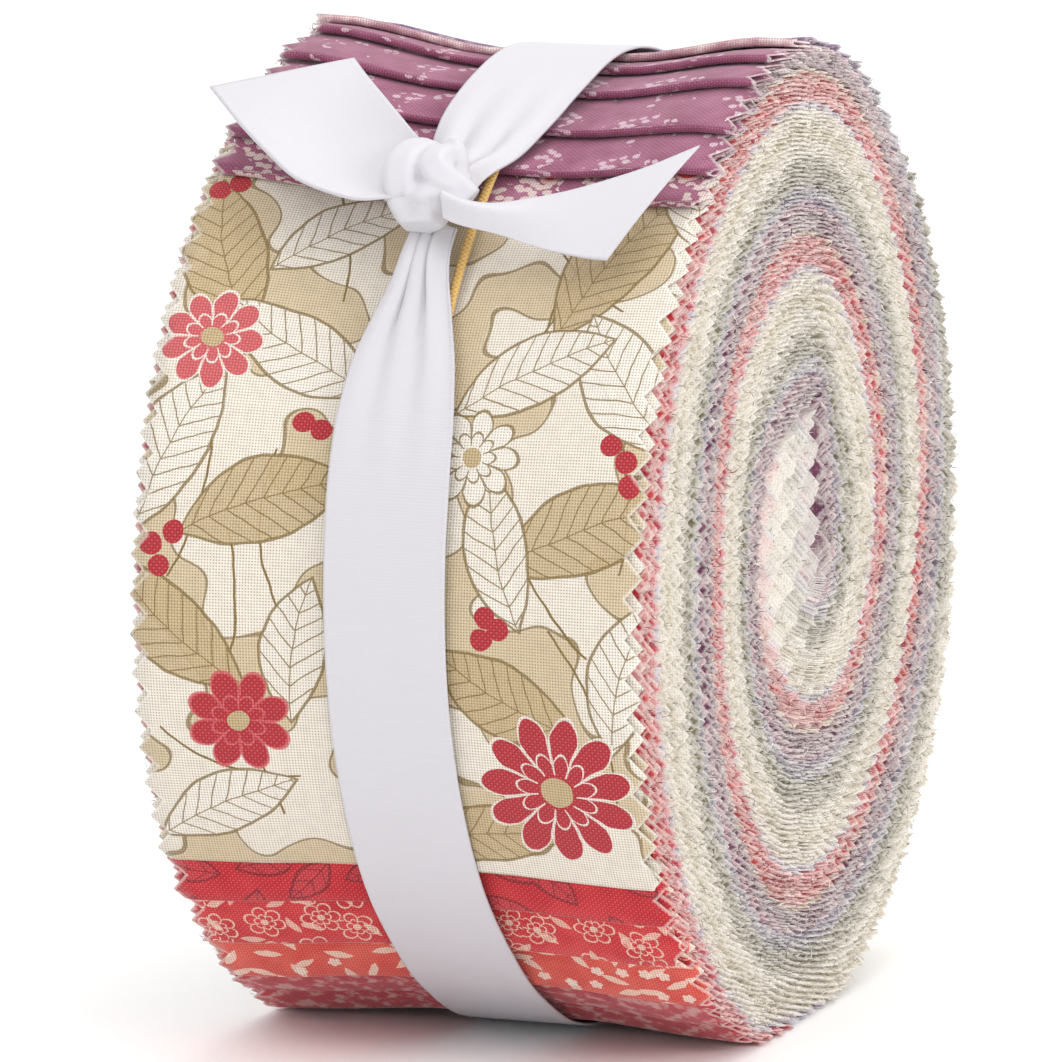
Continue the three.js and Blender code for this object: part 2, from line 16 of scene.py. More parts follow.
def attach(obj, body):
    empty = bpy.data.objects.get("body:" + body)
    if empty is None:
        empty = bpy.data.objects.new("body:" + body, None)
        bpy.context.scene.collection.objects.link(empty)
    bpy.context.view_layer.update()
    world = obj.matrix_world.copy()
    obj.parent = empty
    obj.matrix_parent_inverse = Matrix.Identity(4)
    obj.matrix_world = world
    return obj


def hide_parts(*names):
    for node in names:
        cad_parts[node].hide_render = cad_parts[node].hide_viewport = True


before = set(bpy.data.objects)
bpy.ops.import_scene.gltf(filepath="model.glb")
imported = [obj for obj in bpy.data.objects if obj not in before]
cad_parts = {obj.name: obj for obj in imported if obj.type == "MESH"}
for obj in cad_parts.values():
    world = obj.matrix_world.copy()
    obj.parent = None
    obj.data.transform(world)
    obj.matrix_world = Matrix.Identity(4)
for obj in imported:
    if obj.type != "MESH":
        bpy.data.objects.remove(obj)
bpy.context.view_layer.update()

MM = 0.001

# The roll's frame
STRIP_WIDTH = 63.5
HALF_WIDTH = STRIP_WIDTH / 2
FOLDED_LENGTH = 559.0
AXIS_HEIGHT = 58.7
AXIS_FORWARD = 1.6
STRIP_COUNT = 40
CLOTH_THICKNESS = 0.22
LAYER_SHARE = 0.42  # the most of a strip's room that one of its two layers may take
PACKED_SHARE = 0.92  # how much of that room both take together
TWO_TURNS = 720

# Pinked edges
TOOTH_PITCH = 4.75
TOOTH_DEPTH = 2.0

# The stack's outer face on its first two turns, every 45 degrees
TABLE_STEP = 45
TABLE_START = -45
WINDING_RADIUS = [
    17.4, 17.0, 18.8, 22.5, 29.0, 34.0, 35.4, 38.7, 37.5,
    33.5, 37.1, 44.6, 47.2, 50.2, 53.2, 58.2, 57.9,
]
FULL_STACK_TO = 670  # degrees. Past it the strips end one by one

# The stack's inner face on its first turn, round the small hollow
CORE_Y = [4.5, 5.6, 5.4, 7.2, 9.2, 9.0, 7.4, 5.2]
CORE_Z = [16.4, 1.0, -3.2, -5.0, -3.6, 0.2, 9.0, 17.4]

# The outer surface round the back, every 15 degrees
BACK_START = 45
BACK_STEP = 15
BACK_RADIUS = [
    57.4, 58.2, 60.0, 59.3, 60.2, 61.5, 62.3, 62.8, 62.6,
    61.9, 60.9, 59.6, 58.8, 59.3, 60.8, 61.6, 61.6,
]
BACK_FOLDS = 30
BACK_FOLDS_TO = 264
BACK_FOLD_APART = 6.835
BACK_FOLD_STEP = 0.8
FRONT_FOLD_STEP = 1.5

# Folded ends that show, outermost strip first: winding angle past the second turn,
# and the radius of the fold's top
FRONT_FOLDS = [(34, 60.0), (41, 59.6), (50, 59.4), (59.06, 59.8)]
TOP_FOLDS = [(273, 62.5), (279, 61.7), (287.5, 60.8), (297, 60.1), (305.5, 59.7), (310, 59.3)]

# How far the ribbon draws the roll in, every 45 degrees
WAIST_DEPTH = [1.4, 1.3, 1.4, 1.3, 1.5, 1.9, 3.0, 2.3]
WAIST_FLOOR = (-7.0, 8.5)
WAIST_MOUTH = (-29.0, 29.0)

STATION_MARGIN = 0.3  # share of the spacing kept clear at a line's ends

rng = np.random.default_rng(40)


def smooth(values, start, step, angle, closed=False):
    """The value at an angle of evenly spaced table values, joined by a smooth curve."""
    values = np.asarray(values, float)
    place = (np.asarray(angle, float) - start) / step
    base = np.floor(place).astype(int)
    part = place - base

    def pick(shift):
        index = base + shift
        if closed:
            return values[index % len(values)]
        return values[np.clip(index, 0, len(values) - 1)]

    slope_from = (pick(1) - pick(-1)) / 2
    slope_to = (pick(2) - pick(0)) / 2
    square = part * part
    cube = square * part
    return (
        pick(0) * (2 * cube - 3 * square + 1)
        + slope_from * (cube - 2 * square + part)
        + pick(1) * (3 * square - 2 * cube)
        + slope_to * (cube - square)
    )


def smooth_step(low, high, value):
    """0 under low and 1 over high, with a soft start and end."""
    share = np.clip((np.asarray(value, float) - low) / (high - low), 0, 1)
    return share * share * (3 - 2 * share)


def length_along(places):
    """The length of a line of places up to each of them."""
    steps = np.linalg.norm(np.diff(places, axis=0), axis=1)
    return np.concatenate([[0], np.cumsum(steps)])


def places_at(at, length, places):
    """The values (y, z) of a line at some lengths along it."""
    return np.stack([np.interp(at, length, places[:, axis]) for axis in (0, 1)], -1)


def stations(first, last, spacing, shift):
    """Lengths from first to last, in step with the teeth but for the two ends."""
    start = math.ceil((first - shift) / spacing)
    stop = math.floor((last - shift) / spacing)
    at = np.arange(start, stop + 1) * spacing + shift
    margin = STATION_MARGIN * spacing
    at = at[(at > first + margin) & (at < last - margin)]
    return np.concatenate([[first], at, [last]])


def quads(a, b, c, d):
    """Faces from the numbers of their four corners."""
    return np.stack([corner.ravel() for corner in (a, b, c, d)], -1)


def floor_radius(angle):
    """The radius at which the floor is met."""
    drop = np.sin(np.radians(angle))
    return np.where(drop > 0.1, AXIS_HEIGHT / np.maximum(drop, 0.1), 1e3)


def back_radius(angle):
    """The roll's outer surface round the back."""
    return smooth(BACK_RADIUS, BACK_START, BACK_STEP, angle)


def list_folds():
    """Every strip's fold, outermost strip first: (angle, top radius, step down to the next)."""
    folds = [(TWO_TURNS + angle, radius, FRONT_FOLD_STEP) for angle, radius in FRONT_FOLDS]
    for place in range(BACK_FOLDS - 1, -1, -1):
        angle = BACK_FOLDS_TO - place * BACK_FOLD_APART
        radius = float(back_radius(angle)) + BACK_FOLD_STEP / 2
        folds.append((TWO_TURNS + angle, radius, BACK_FOLD_STEP))
    folds += [(TWO_TURNS + angle, radius, FRONT_FOLD_STEP) for angle, radius in TOP_FOLDS]
    return folds


FOLDS = list_folds()
FOLD_ANGLE = np.array([fold[0] for fold in FOLDS])
FOLD_RADIUS = np.array([fold[1] for fold in FOLDS])
FOLD_STEP = np.array([fold[2] for fold in FOLDS])


def stack_radius(angle):
    """The outer face of the whole stack, on its first two turns."""
    return smooth(WINDING_RADIUS, TABLE_START, TABLE_STEP, angle)


# Curves along the last turn, from the full stack to the innermost strip's fold
CURVE_ANGLE = np.concatenate([[FULL_STACK_TO], FOLD_ANGLE])
CURVE_CREST = np.concatenate([[stack_radius(FULL_STACK_TO) + FRONT_FOLD_STEP], FOLD_RADIUS])
CURVE_STEP = np.concatenate([FOLD_STEP, [FRONT_FOLD_STEP]])
CURVE_COUNT = np.arange(-1, STRIP_COUNT)


def folds_past(angle):
    """How many folds lie before an angle, as a number that grows evenly between them."""
    return np.interp(angle, CURVE_ANGLE, CURVE_COUNT)


def crest_radius(angle):
    """The top of the outermost strip along the last turn."""
    crest = np.interp(angle, CURVE_ANGLE, CURVE_CREST)
    return np.minimum(crest, floor_radius(angle))


def deck_radius(angle):
    """The top of the strips that lie under the outermost one."""
    deck = crest_radius(angle) - np.interp(angle, CURVE_ANGLE, CURVE_STEP)
    return np.where(np.asarray(angle) <= FULL_STACK_TO, stack_radius(angle), deck)


def around(angle, radius):
    """Places (y, z) from the roll's axis."""
    turned = np.radians(angle)
    return np.stack([-radius * np.cos(turned), -radius * np.sin(turned)], -1)


def core_place(angle):
    """The stack's inner face on its first turn."""
    closing = around(np.array([315.0, 360.0]), stack_radius(np.array([-45.0, 0.0])))
    columns = [CORE_Y + list(closing[:, 0]), CORE_Z + list(closing[:, 1])]
    return np.stack([smooth(c, TABLE_START, TABLE_STEP, angle) for c in columns], -1)


def base_place(angle):
    """The surface that the stack is wound on."""
    angle = np.asarray(angle, float)
    inside = core_place(np.minimum(angle, TABLE_START + 360))
    outside = around(angle, stack_radius(angle - 360))
    return np.where((angle < TABLE_START + 360)[..., None], inside, outside)


def waist_share(x):
    """1 under the ribbon and 0 beyond the drawn-in part."""
    left = smooth_step(WAIST_MOUTH[0], WAIST_FLOOR[0], x)
    right = 1 - smooth_step(WAIST_FLOOR[1], WAIST_MOUTH[1], x)
    return left * right


def waist_depth(angle):
    """How far the ribbon draws the roll in."""
    return smooth(WAIST_DEPTH, 0, TABLE_STEP, np.mod(angle, 360), closed=True)


SPACING_MIN = 0.3
NOSE_HEIGHT = {FRONT_FOLD_STEP: 1.15, BACK_FOLD_STEP: 0.78}
LINE_POINTS = 2000
FOLD_LINE_POINTS = 2200

# The round of a fold: turns from its middle, and places along the cloth, which lie a
# millimetre past the end of the inner layer at the middle
FOLD_TURNS = (-54.0, -18.0, 18.0, 54.0)
FOLD_LENGTHS = (0.2, 0.6, 0.6, 0.2)
FOLD_CLOTH = (-0.8, -0.3, 0.3, 0.8)


def strip_layer(strip, outer, angle):
    """Where one layer of a strip lies, counted from the outermost strip: (y, z), its
    depth under the roll's surface, and the cloth's thickness there."""
    angle = np.asarray(angle, float)
    past = folds_past(angle)
    under = strip - past  # folds still to come before this strip's own
    base = base_place(angle)
    deck = around(angle, deck_radius(angle))
    across = np.linalg.norm(deck - base, axis=-1)
    left = STRIP_COUNT - 1 - past
    spacing = np.maximum(across / np.maximum(left, 1), SPACING_MIN * (angle > FULL_STACK_TO))
    thick = np.minimum(CLOTH_THICKNESS, LAYER_SHARE * spacing)
    packed = PACKED_SHARE * spacing
    below = np.where(outer, thick / 2, packed - thick / 2) + spacing * np.maximum(under - 1, 0)
    share = 1 - below / np.maximum(across, 1e-6)
    stacked = base + share[..., None] * (deck - base)

    # the last stretch, where the strip is outermost and swells into its fold
    step = FOLD_STEP[strip]
    height = NOSE_HEIGHT[step]
    crest = crest_radius(angle)
    rise = np.clip(under, 0, 1)
    top = crest - step * rise - thick / 2
    bottom_deck = deck_radius(angle) - packed + thick / 2
    bottom = (crest - height + thick / 2) * (1 - rise) + bottom_deck * rise
    shown = around(angle, top if outer else bottom)
    place = np.where((under < 1)[..., None] & (angle > FULL_STACK_TO)[..., None], shown, stacked)
    depth = crest - np.linalg.norm(place, axis=-1)
    return place, np.maximum(depth, 0), thick


def fold_path(strip, start, spacing, shift=0.0):
    """A strip's middle surface as one line: out along its inner layer from a winding
    angle, round its fold, and back along its outer layer. Stations lie spacing apart
    along the cloth. Returns place, length from the raw end, place along the cloth from
    the fold, depth and thickness."""
    end = FOLD_ANGLE[strip]
    fine = np.linspace(TABLE_START, end, FOLD_LINE_POINTS)
    sides = []
    for outer in (False, True):
        place, depth, thick = strip_layer(strip, outer, fine)
        length = length_along(place)
        nose = 0.5 * NOSE_HEIGHT[FOLD_STEP[strip]]
        at = stations(np.interp(start, fine, length), length[-1] - nose, spacing, shift)
        sides.append((
            places_at(at, length, place),
            at,
            np.interp(at, length, depth),
            np.interp(at, length, thick),
        ))
    (inner, inner_at, inner_depth, inner_thick), (outer, outer_at, outer_depth, outer_thick) = sides

    # the fold, a half round from one layer to the other
    turn = np.radians(FOLD_TURNS)[:, None]
    centre = (inner[-1] + outer[-1]) / 2
    half = (outer[-1] - inner[-1]) / 2
    forward = np.array([math.sin(math.radians(end)), -math.cos(math.radians(end))])
    nose = centre + half * np.sin(turn) + forward * np.linalg.norm(half) * np.cos(turn)
    nose_at = inner_at[-1] + np.array(FOLD_LENGTHS)
    folded_at = inner_at[-1] + 1.0
    cloth_at = [inner_at - folded_at, np.array(FOLD_CLOTH), folded_at - outer_at[::-1]]
    steady = np.ones(len(nose))
    return (
        np.concatenate([inner, nose, outer[::-1]]),
        np.concatenate([inner_at, nose_at, outer_at[::-1]]),
        np.concatenate(cloth_at),
        np.concatenate([inner_depth, steady * inner_depth[-1], outer_depth[::-1]]),
        np.concatenate([inner_thick, steady * inner_thick[-1], outer_thick[::-1]]),
    )


def side_normals(places):
    """The outward normal of each point of a line of (y, z) places."""
    along = np.gradient(places, axis=0)
    along /= np.maximum(np.linalg.norm(along, axis=1), 1e-9)[:, None]
    return np.stack([along[:, 1], -along[:, 0]], -1)


def tooth(length):
    """0 on a tooth's tip and 1 in the notch beside it."""
    place = np.mod(np.asarray(length) / (TOOTH_PITCH / 2), 2)
    return np.where(place > 1, 2 - place, place)


def new_object(name, points, faces, uv=None, tints=None, edges=None):
    """A smooth mesh object in metres from places in millimetres about the roll's axis. uv,
    tints and edges give each point its place on the cloth, colour and distance from the
    cut edge."""
    placed = np.array(points, float)
    placed[:, 1] -= AXIS_FORWARD
    placed[:, 2] += AXIS_HEIGHT
    mesh = bpy.data.meshes.new(name)
    faces = np.asarray(faces)
    mesh.vertices.add(len(placed))
    mesh.vertices.foreach_set("co", (placed * MM).astype(np.float32).ravel())
    corners = faces.shape[1]
    mesh.loops.add(faces.size)
    mesh.loops.foreach_set("vertex_index", faces.astype(np.int32).ravel())
    mesh.polygons.add(len(faces))
    mesh.polygons.foreach_set("loop_start", np.arange(0, faces.size, corners, dtype=np.int32))
    mesh.polygons.foreach_set("use_smooth", np.ones(len(faces), bool))
    if uv is not None:
        layer = mesh.uv_layers.new(name="cloth")
        layer.data.foreach_set("uv", np.asarray(uv, np.float32)[faces.ravel()].ravel())
    if tints is not None:
        layer = mesh.attributes.new("tint", "FLOAT_COLOR", "POINT")
        rgba = np.concatenate([tints, np.ones((len(tints), 1))], 1)
        layer.data.foreach_set("color", rgba.astype(np.float32).ravel())
    if edges is not None:
        layer = mesh.attributes.new("edge", "FLOAT", "POINT")
        layer.data.foreach_set("value", np.asarray(edges, np.float32))
    mesh.update(calc_edges=True)
    mesh.validate()
    made = bpy.data.objects.new(name, mesh)
    bpy.context.scene.collection.objects.link(made)
    return made


WRINKLE_SEED = 700
WRINKLE_WAVES = ((34.0, 0.5), (19.0, 0.3), (11.0, 0.2))  # wave lengths and their shares
WRINKLE_TURN = 0.9  # radians that a wave may be turned
WRINKLE_STRETCH = 1.7  # how much longer a wave is across than along


def wrinkle(strip, x, length, size):
    """Soft unevenness of a strip's face, in millimetres."""
    waves = np.random.default_rng(WRINKLE_SEED + strip)
    height = np.zeros(np.broadcast(x, length).shape)
    for wave_length, share in WRINKLE_WAVES:
        turn = waves.uniform(-WRINKLE_TURN, WRINKLE_TURN)
        start = waves.uniform(0, 2 * np.pi, 2)
        along = (x * math.cos(turn) + length * math.sin(turn)) / wave_length
        across = (length * math.cos(turn) - x * math.sin(turn)) / (WRINKLE_STRETCH * wave_length)
        swell = np.sin(2 * np.pi * along + start[0])
        height += share * swell * np.sin(2 * np.pi * across + start[1])
    return size * height


def turned_by(places, degrees):
    """Places (y, z) turned about the roll's axis, forward along the winding."""
    cos = np.cos(np.radians(degrees))
    sin = np.sin(np.radians(degrees))
    y, z = places[..., 0], places[..., 1]
    return np.stack([y * cos - z * sin, y * sin + z * cos], -1)


SINK_FADE = 9.0  # depth under the surface at which the waist is no longer felt
WAIST_SMOOTHING = 0.6  # how much of the wrinkles the ribbon presses flat


def slab(line, levels, strip, shift, offset, roughness=0.0, slant=(0.0, 0.0)):
    """A stretch of strip as a closed slab of cloth. line is (place, length from the raw
    end, place along the cloth, depth, thickness), levels the places across the strip
    between its two pinked edges, slant the degrees it is turned at its left and right
    edge. Returns points, faces, uv and each point's distance from the cut edge."""
    place, raw_length, length, depth, thick = line
    count = len(place)
    width = len(levels) + 2
    reach = HALF_WIDTH - TOOTH_DEPTH * tooth(raw_length - shift)
    x = np.empty((count, width))
    x[:, 0] = offset - reach
    x[:, -1] = offset + reach
    x[:, 1:-1] = levels
    normal = side_normals(place)
    radius = np.linalg.norm(place, axis=1)
    outward = place / np.maximum(radius, 1e-9)[:, None]
    turned = np.degrees(np.arctan2(-place[:, 1], -place[:, 0]))
    shown = 1 - smooth_step(0, SINK_FADE, depth)
    sink = waist_share(x) * (waist_depth(turned) * shown)[:, None]
    bumps = wrinkle(strip, x, raw_length[:, None], roughness)
    bumps = bumps * (1 - WAIST_SMOOTHING * waist_share(x))
    middle = place[:, None, :] - outward[:, None, :] * (sink - bumps)[:, :, None]
    degrees = slant[0] + (slant[1] - slant[0]) * (x + HALF_WIDTH) / STRIP_WIDTH
    sides = []
    for side in (0.5, -0.5):
        surface = middle + (normal * (side * thick)[:, None])[:, None, :]
        surface = turned_by(surface, degrees)
        surface[:, :, 1] = np.maximum(surface[:, :, 1], -AXIS_HEIGHT)
        sides.append(np.concatenate([x[:, :, None], surface], -1))
    points = np.stack(sides, 1)  # station, side, level, axis
    index = np.arange(count * 2 * width).reshape(count, 2, width)
    front, back = index[:, 0], index[:, 1]
    faces = [
        quads(front[:-1, :-1], front[1:, :-1], front[1:, 1:], front[:-1, 1:]),
        quads(back[:-1, :-1], back[:-1, 1:], back[1:, 1:], back[1:, :-1]),
        quads(front[:-1, 0], back[:-1, 0], back[1:, 0], front[1:, 0]),
        quads(front[:-1, -1], front[1:, -1], back[1:, -1], back[:-1, -1]),
        quads(front[0, :-1], front[0, 1:], back[0, 1:], back[0, :-1]),
        quads(front[-1, :-1], back[-1, :-1], back[-1, 1:], front[-1, 1:]),
    ]
    points = points.reshape(-1, 3)
    uv = np.empty((count, 2, width, 2))
    uv[..., 0] = x[:, None, :]
    uv[..., 1] = length[:, None, None]
    from_edge = reach[:, None] - np.abs(x - offset)
    edge = np.broadcast_to(np.maximum(from_edge, 0)[:, None, :], (count, 2, width))
    return points, np.concatenate(faces), uv.reshape(-1, 2), edge.ravel()


def joined(parts):
    """Several (points, faces, ...) parts as one, with their tints."""
    points, faces, uvs, edges, tints = [], [], [], [], []
    first = 0
    for (part_points, part_faces, uv, edge), tint in parts:
        points.append(part_points)
        faces.append(part_faces + first)
        uvs.append(uv)
        edges.append(edge)
        tints.append(np.broadcast_to(tint, (len(part_points), 3)))
        first += len(part_points)
    return [np.concatenate(column) for column in (points, faces, uvs, edges, tints)]


def linear(code):
    """A colour of six hexadecimal digits as linear light."""
    parts = [int(code[place:place + 2], 16) / 255 for place in (0, 2, 4)]
    return np.array([c / 12.92 if c <= 0.04045 else ((c + 0.055) / 1.055) ** 2.4 for c in parts])


# Colours of the strips' cloth from the outermost strip inward: how many, and the colour
STRIP_COLOURS = [
    (1, "cbb795"), (2, "b81c2b"), (1, "cc4644"), (2, "bb2236"), (2, "cc5560"),
    (2, "c2b8ca"), (4, "dbd0bd"), (4, "cfc3a8"), (4, "ddd5c4"),
    (3, "a09880"), (4, "80795f"), (3, "8d8594"),
    (2, "83668c"), (1, "b97c8e"), (5, "73395a"),
]


def strip_colours():
    """Each strip's colour, outermost first."""
    codes = [code for count, code in STRIP_COLOURS for _ in range(count)]
    return np.array([linear(code) for code in codes])


COLOURS = strip_colours()
EDGE_WHITE = linear("f4efe8")
EDGE_OFFSET = rng.normal(0, 0.22, STRIP_COUNT)
ROW_SLANT = 8.0  # how far the teeth of the outermost strip lag behind the innermost's
ROW_LAG = ROW_SLANT * (1 - np.arange(STRIP_COUNT) / STRIP_COUNT)
EDGE_SHIFT = ROW_LAG[:, None] + rng.normal(0, 0.3, (STRIP_COUNT, 2))

WOUND_LEVELS = np.array([-9.0, 9.5])
TAIL_REACH = 6.0  # degrees that an end reaches back under the strip above it
TAIL_OVERLAP = 1.0  # degrees that the wound part runs on past the end's start
WOUND_FAMILIES = [("wound_red", 0, 8), ("wound_cream", 8, 22), ("wound_sage", 22, 32), ("wound_plum", 32, 40)]


def tail_angle(strip):
    """Where a strip's folded end starts, under the fold of the strip above it."""
    before = FULL_STACK_TO if strip == 0 else FOLD_ANGLE[strip - 1]
    return before - TAIL_REACH


SELVAGE_WHITE = (14.0, 34.0)  # lengths from the raw end between which the colour sets in
SELVAGE_SHARE = 0.55
PRINT_SEED = 900
PRINT_WAVES = (41.0, 17.0, 7.0)
PRINT_PALE = 0.3
PRINT_DEEP = 0.25


def edge_tint(strip, length):
    """The strip's colour along its length: its print comes and goes, and its raw end is
    bare white selvage."""
    waves = np.random.default_rng(PRINT_SEED + strip)
    length = np.asarray(length, float)
    print_value = np.zeros(length.shape)
    for wave_length in PRINT_WAVES:
        print_value += np.sin(2 * np.pi * (length / wave_length + waves.uniform()))
    pale = PRINT_PALE * smooth_step(0.0, 1.6, print_value)[..., None]
    deep = PRINT_DEEP * smooth_step(0.2, 1.8, -print_value)[..., None]
    colour = COLOURS[strip] * (1 - deep) + (EDGE_WHITE - COLOURS[strip]) * pale
    white = SELVAGE_SHARE * (1 - smooth_step(*SELVAGE_WHITE, length))[..., None]
    return colour + (EDGE_WHITE - colour) * white


def layer_line(strip, outer, start, stop, spacing):
    """One layer of a strip between two winding angles, with stations at its teeth."""
    shift = EDGE_SHIFT[strip, int(outer)]
    fine = np.linspace(TABLE_START, stop, LINE_POINTS)
    place, depth, thick = strip_layer(strip, outer, fine)
    length = length_along(place)
    at = stations(np.interp(start, fine, length), length[-1], spacing, shift)
    cloth = 2 * FOLDED_LENGTH - at if outer else at
    return (
        places_at(at, length, place),
        at,
        cloth,
        np.interp(at, length, depth),
        np.interp(at, length, thick),
    )


def wound_piece(name, first, last):
    """The wound part of several strips, from their raw ends to where their ends start."""
    parts = []
    length = 0
    for strip in range(first, last):
        for outer in (False, True):
            stop = tail_angle(strip) + TAIL_OVERLAP
            line = layer_line(strip, outer, TABLE_START, stop, TOOTH_PITCH / 2)
            shift = EDGE_SHIFT[strip, int(outer)]
            made = slab(line, WOUND_LEVELS, strip, shift, EDGE_OFFSET[strip])
            tint = edge_tint(strip, np.repeat(line[1], len(made[0]) // len(line[1])))
            parts.append((made, tint))
            length += abs(line[1][-1] - line[1][0])
    points, faces, uv, edges, tints = joined(parts)
    piece = new_object(name, points, faces, uv, tints, edges)
    return piece, length


END_SPACING = TOOTH_PITCH / 4
END_LEVELS = np.array([
    -29.2, -26.0, -22.5, -19.0, -15.5, -12.0, -8.5, -4.0, 0.5, 5.0, 9.5, 13.0, 16.5, 20.0, 23.5, 26.5, 29.2,
])
BACK_LEVELS = np.array([-29.2, -23.0, -16.5, -13.0, -9.8, 0.4, 10.8, 14.0, 17.5, 23.0, 29.2])

# Folded ends that show at the front: node, strip, and where the fold lies at the strip's
# left and right edge, as a winding angle past the second turn
FRONT_ENDS = [
    ("strip_end_mauve", 34, 270.0, 274.0),
    ("strip_end_plum_1", 35, 273.5, 280.0),
    ("strip_end_plum_2", 36, 283.0, 286.0),
    ("strip_end_plum_3", 37, 291.0, 296.5),
    ("strip_end_plum_4", 38, 300.5, 304.0),
    ("strip_end_plum_5", 39, 307.0, 309.0),
    ("strip_front_cream", 0, 394.3, 393.7),
    ("strip_end_red_1", 1, 401.6, 400.2),
    ("strip_end_red_2", 2, 411.0, 408.6),
    ("strip_end_coral", 3, 419.4, 417.5),
]
BACK_ENDS = [("back_red", 4, 8), ("back_cream", 8, 22), ("back_sage", 22, 32), ("back_lavender", 32, 34)]
END_ROUGHNESS = 0.22
BACK_ROUGHNESS = 0.15
BACK_SLANT = 0.5  # usual slant of a fold at the back, in degrees


def end_slab(strip, levels, roughness, slant):
    """A strip's folded end as a slab, and the length of its cloth."""
    shift = EDGE_SHIFT[strip, 1]
    line = fold_path(strip, tail_angle(strip), END_SPACING, shift)
    made = slab(line, levels, strip, shift, EDGE_OFFSET[strip], roughness, slant)
    return made, float(np.ptp(line[2]))


def front_end(name, strip, left, right):
    """One folded end that shows at the front."""
    start = FOLD_ANGLE[strip] - TWO_TURNS
    made, length = end_slab(strip, END_LEVELS, END_ROUGHNESS, (left - start, right - start))
    points, faces, uv, edges, tints = joined([(made, COLOURS[strip])])
    return new_object(name, points, faces, uv, tints, edges), length


def back_ends(name, first, last):
    """The folded ends of several strips at the back."""
    parts = []
    length = 0
    for strip in range(first, last):
        slant = rng.normal(0, BACK_SLANT, 2)
        made, cloth_length = end_slab(strip, BACK_LEVELS, BACK_ROUGHNESS, slant)
        parts.append((made, COLOURS[strip]))
        length += cloth_length
    points, faces, uv, edges, tints = joined(parts)
    return new_object(name, points, faces, uv, tints, edges), length


LINT_RIGHT = 64000
LINT_LEFT = 44000
LINT_LENGTH = (0.35, 1.35)
LINT_WIDTH = (0.08, 0.15)
LINT_TILT = 52.0  # usual lean of a fibre from the strip's edge
LINT_WHITE = (0.5, 1.0)
LINT_DEEP = 0.5  # share of the fibres that keep their dye
LINT_DEEP_RED = 0.72  # the same for the outermost strips, which are red
RED_STRIPS = 8
LINT_BARE = 26.0  # the selvages have hardly any, up to this length from the raw end
LINT_BARE_SHARE = 0.7  # how many of the selvages' fibres are moved elsewhere
LINT_ROOT = 0.35  # how far inside the edge a fibre may stand
LINT_SCATTER = 0.1
LINT_CURL = 0.6
LINT_TILT_MAX = 80
LINT_SHORT = 0.45  # length of the fibres on the roll's outer surface, as a share
LINT_SHORT_TO = 3.0  # the depth at which they have their full length
LINT_BEND = 0.55  # where along its length a fibre bends
LINT_DYED_WHITE = 0.05
# How dark the dyed fibres are made at random: painted shade among the fibres
LINT_DYED_SHADE = (0.35, 0.95)
FIBRE_CORNERS = ([0, 1, 2], [1, 3, 2], [2, 3, 4])


def lint_places(strip, outer, count):
    """Random places on a layer's cut edge: (y, z), length from the raw end, normal, how
    far the edge reaches there, and the depth under the roll's surface."""
    fine = np.linspace(TABLE_START, FOLD_ANGLE[strip] - 0.3, LINE_POINTS)
    place, depth, _ = strip_layer(strip, outer, fine)
    length = length_along(place)
    at = rng.uniform(0, length[-1], count)
    bare = (at < LINT_BARE) & (rng.uniform(0, 1, count) < LINT_BARE_SHARE)
    at = np.where(bare, rng.uniform(0, length[-1], count), at)
    normal = places_at(at, length, side_normals(place))
    reach = HALF_WIDTH - TOOTH_DEPTH * tooth(at - EDGE_SHIFT[strip, int(outer)])
    return places_at(at, length, place), at, normal, reach, np.interp(at, length, depth)


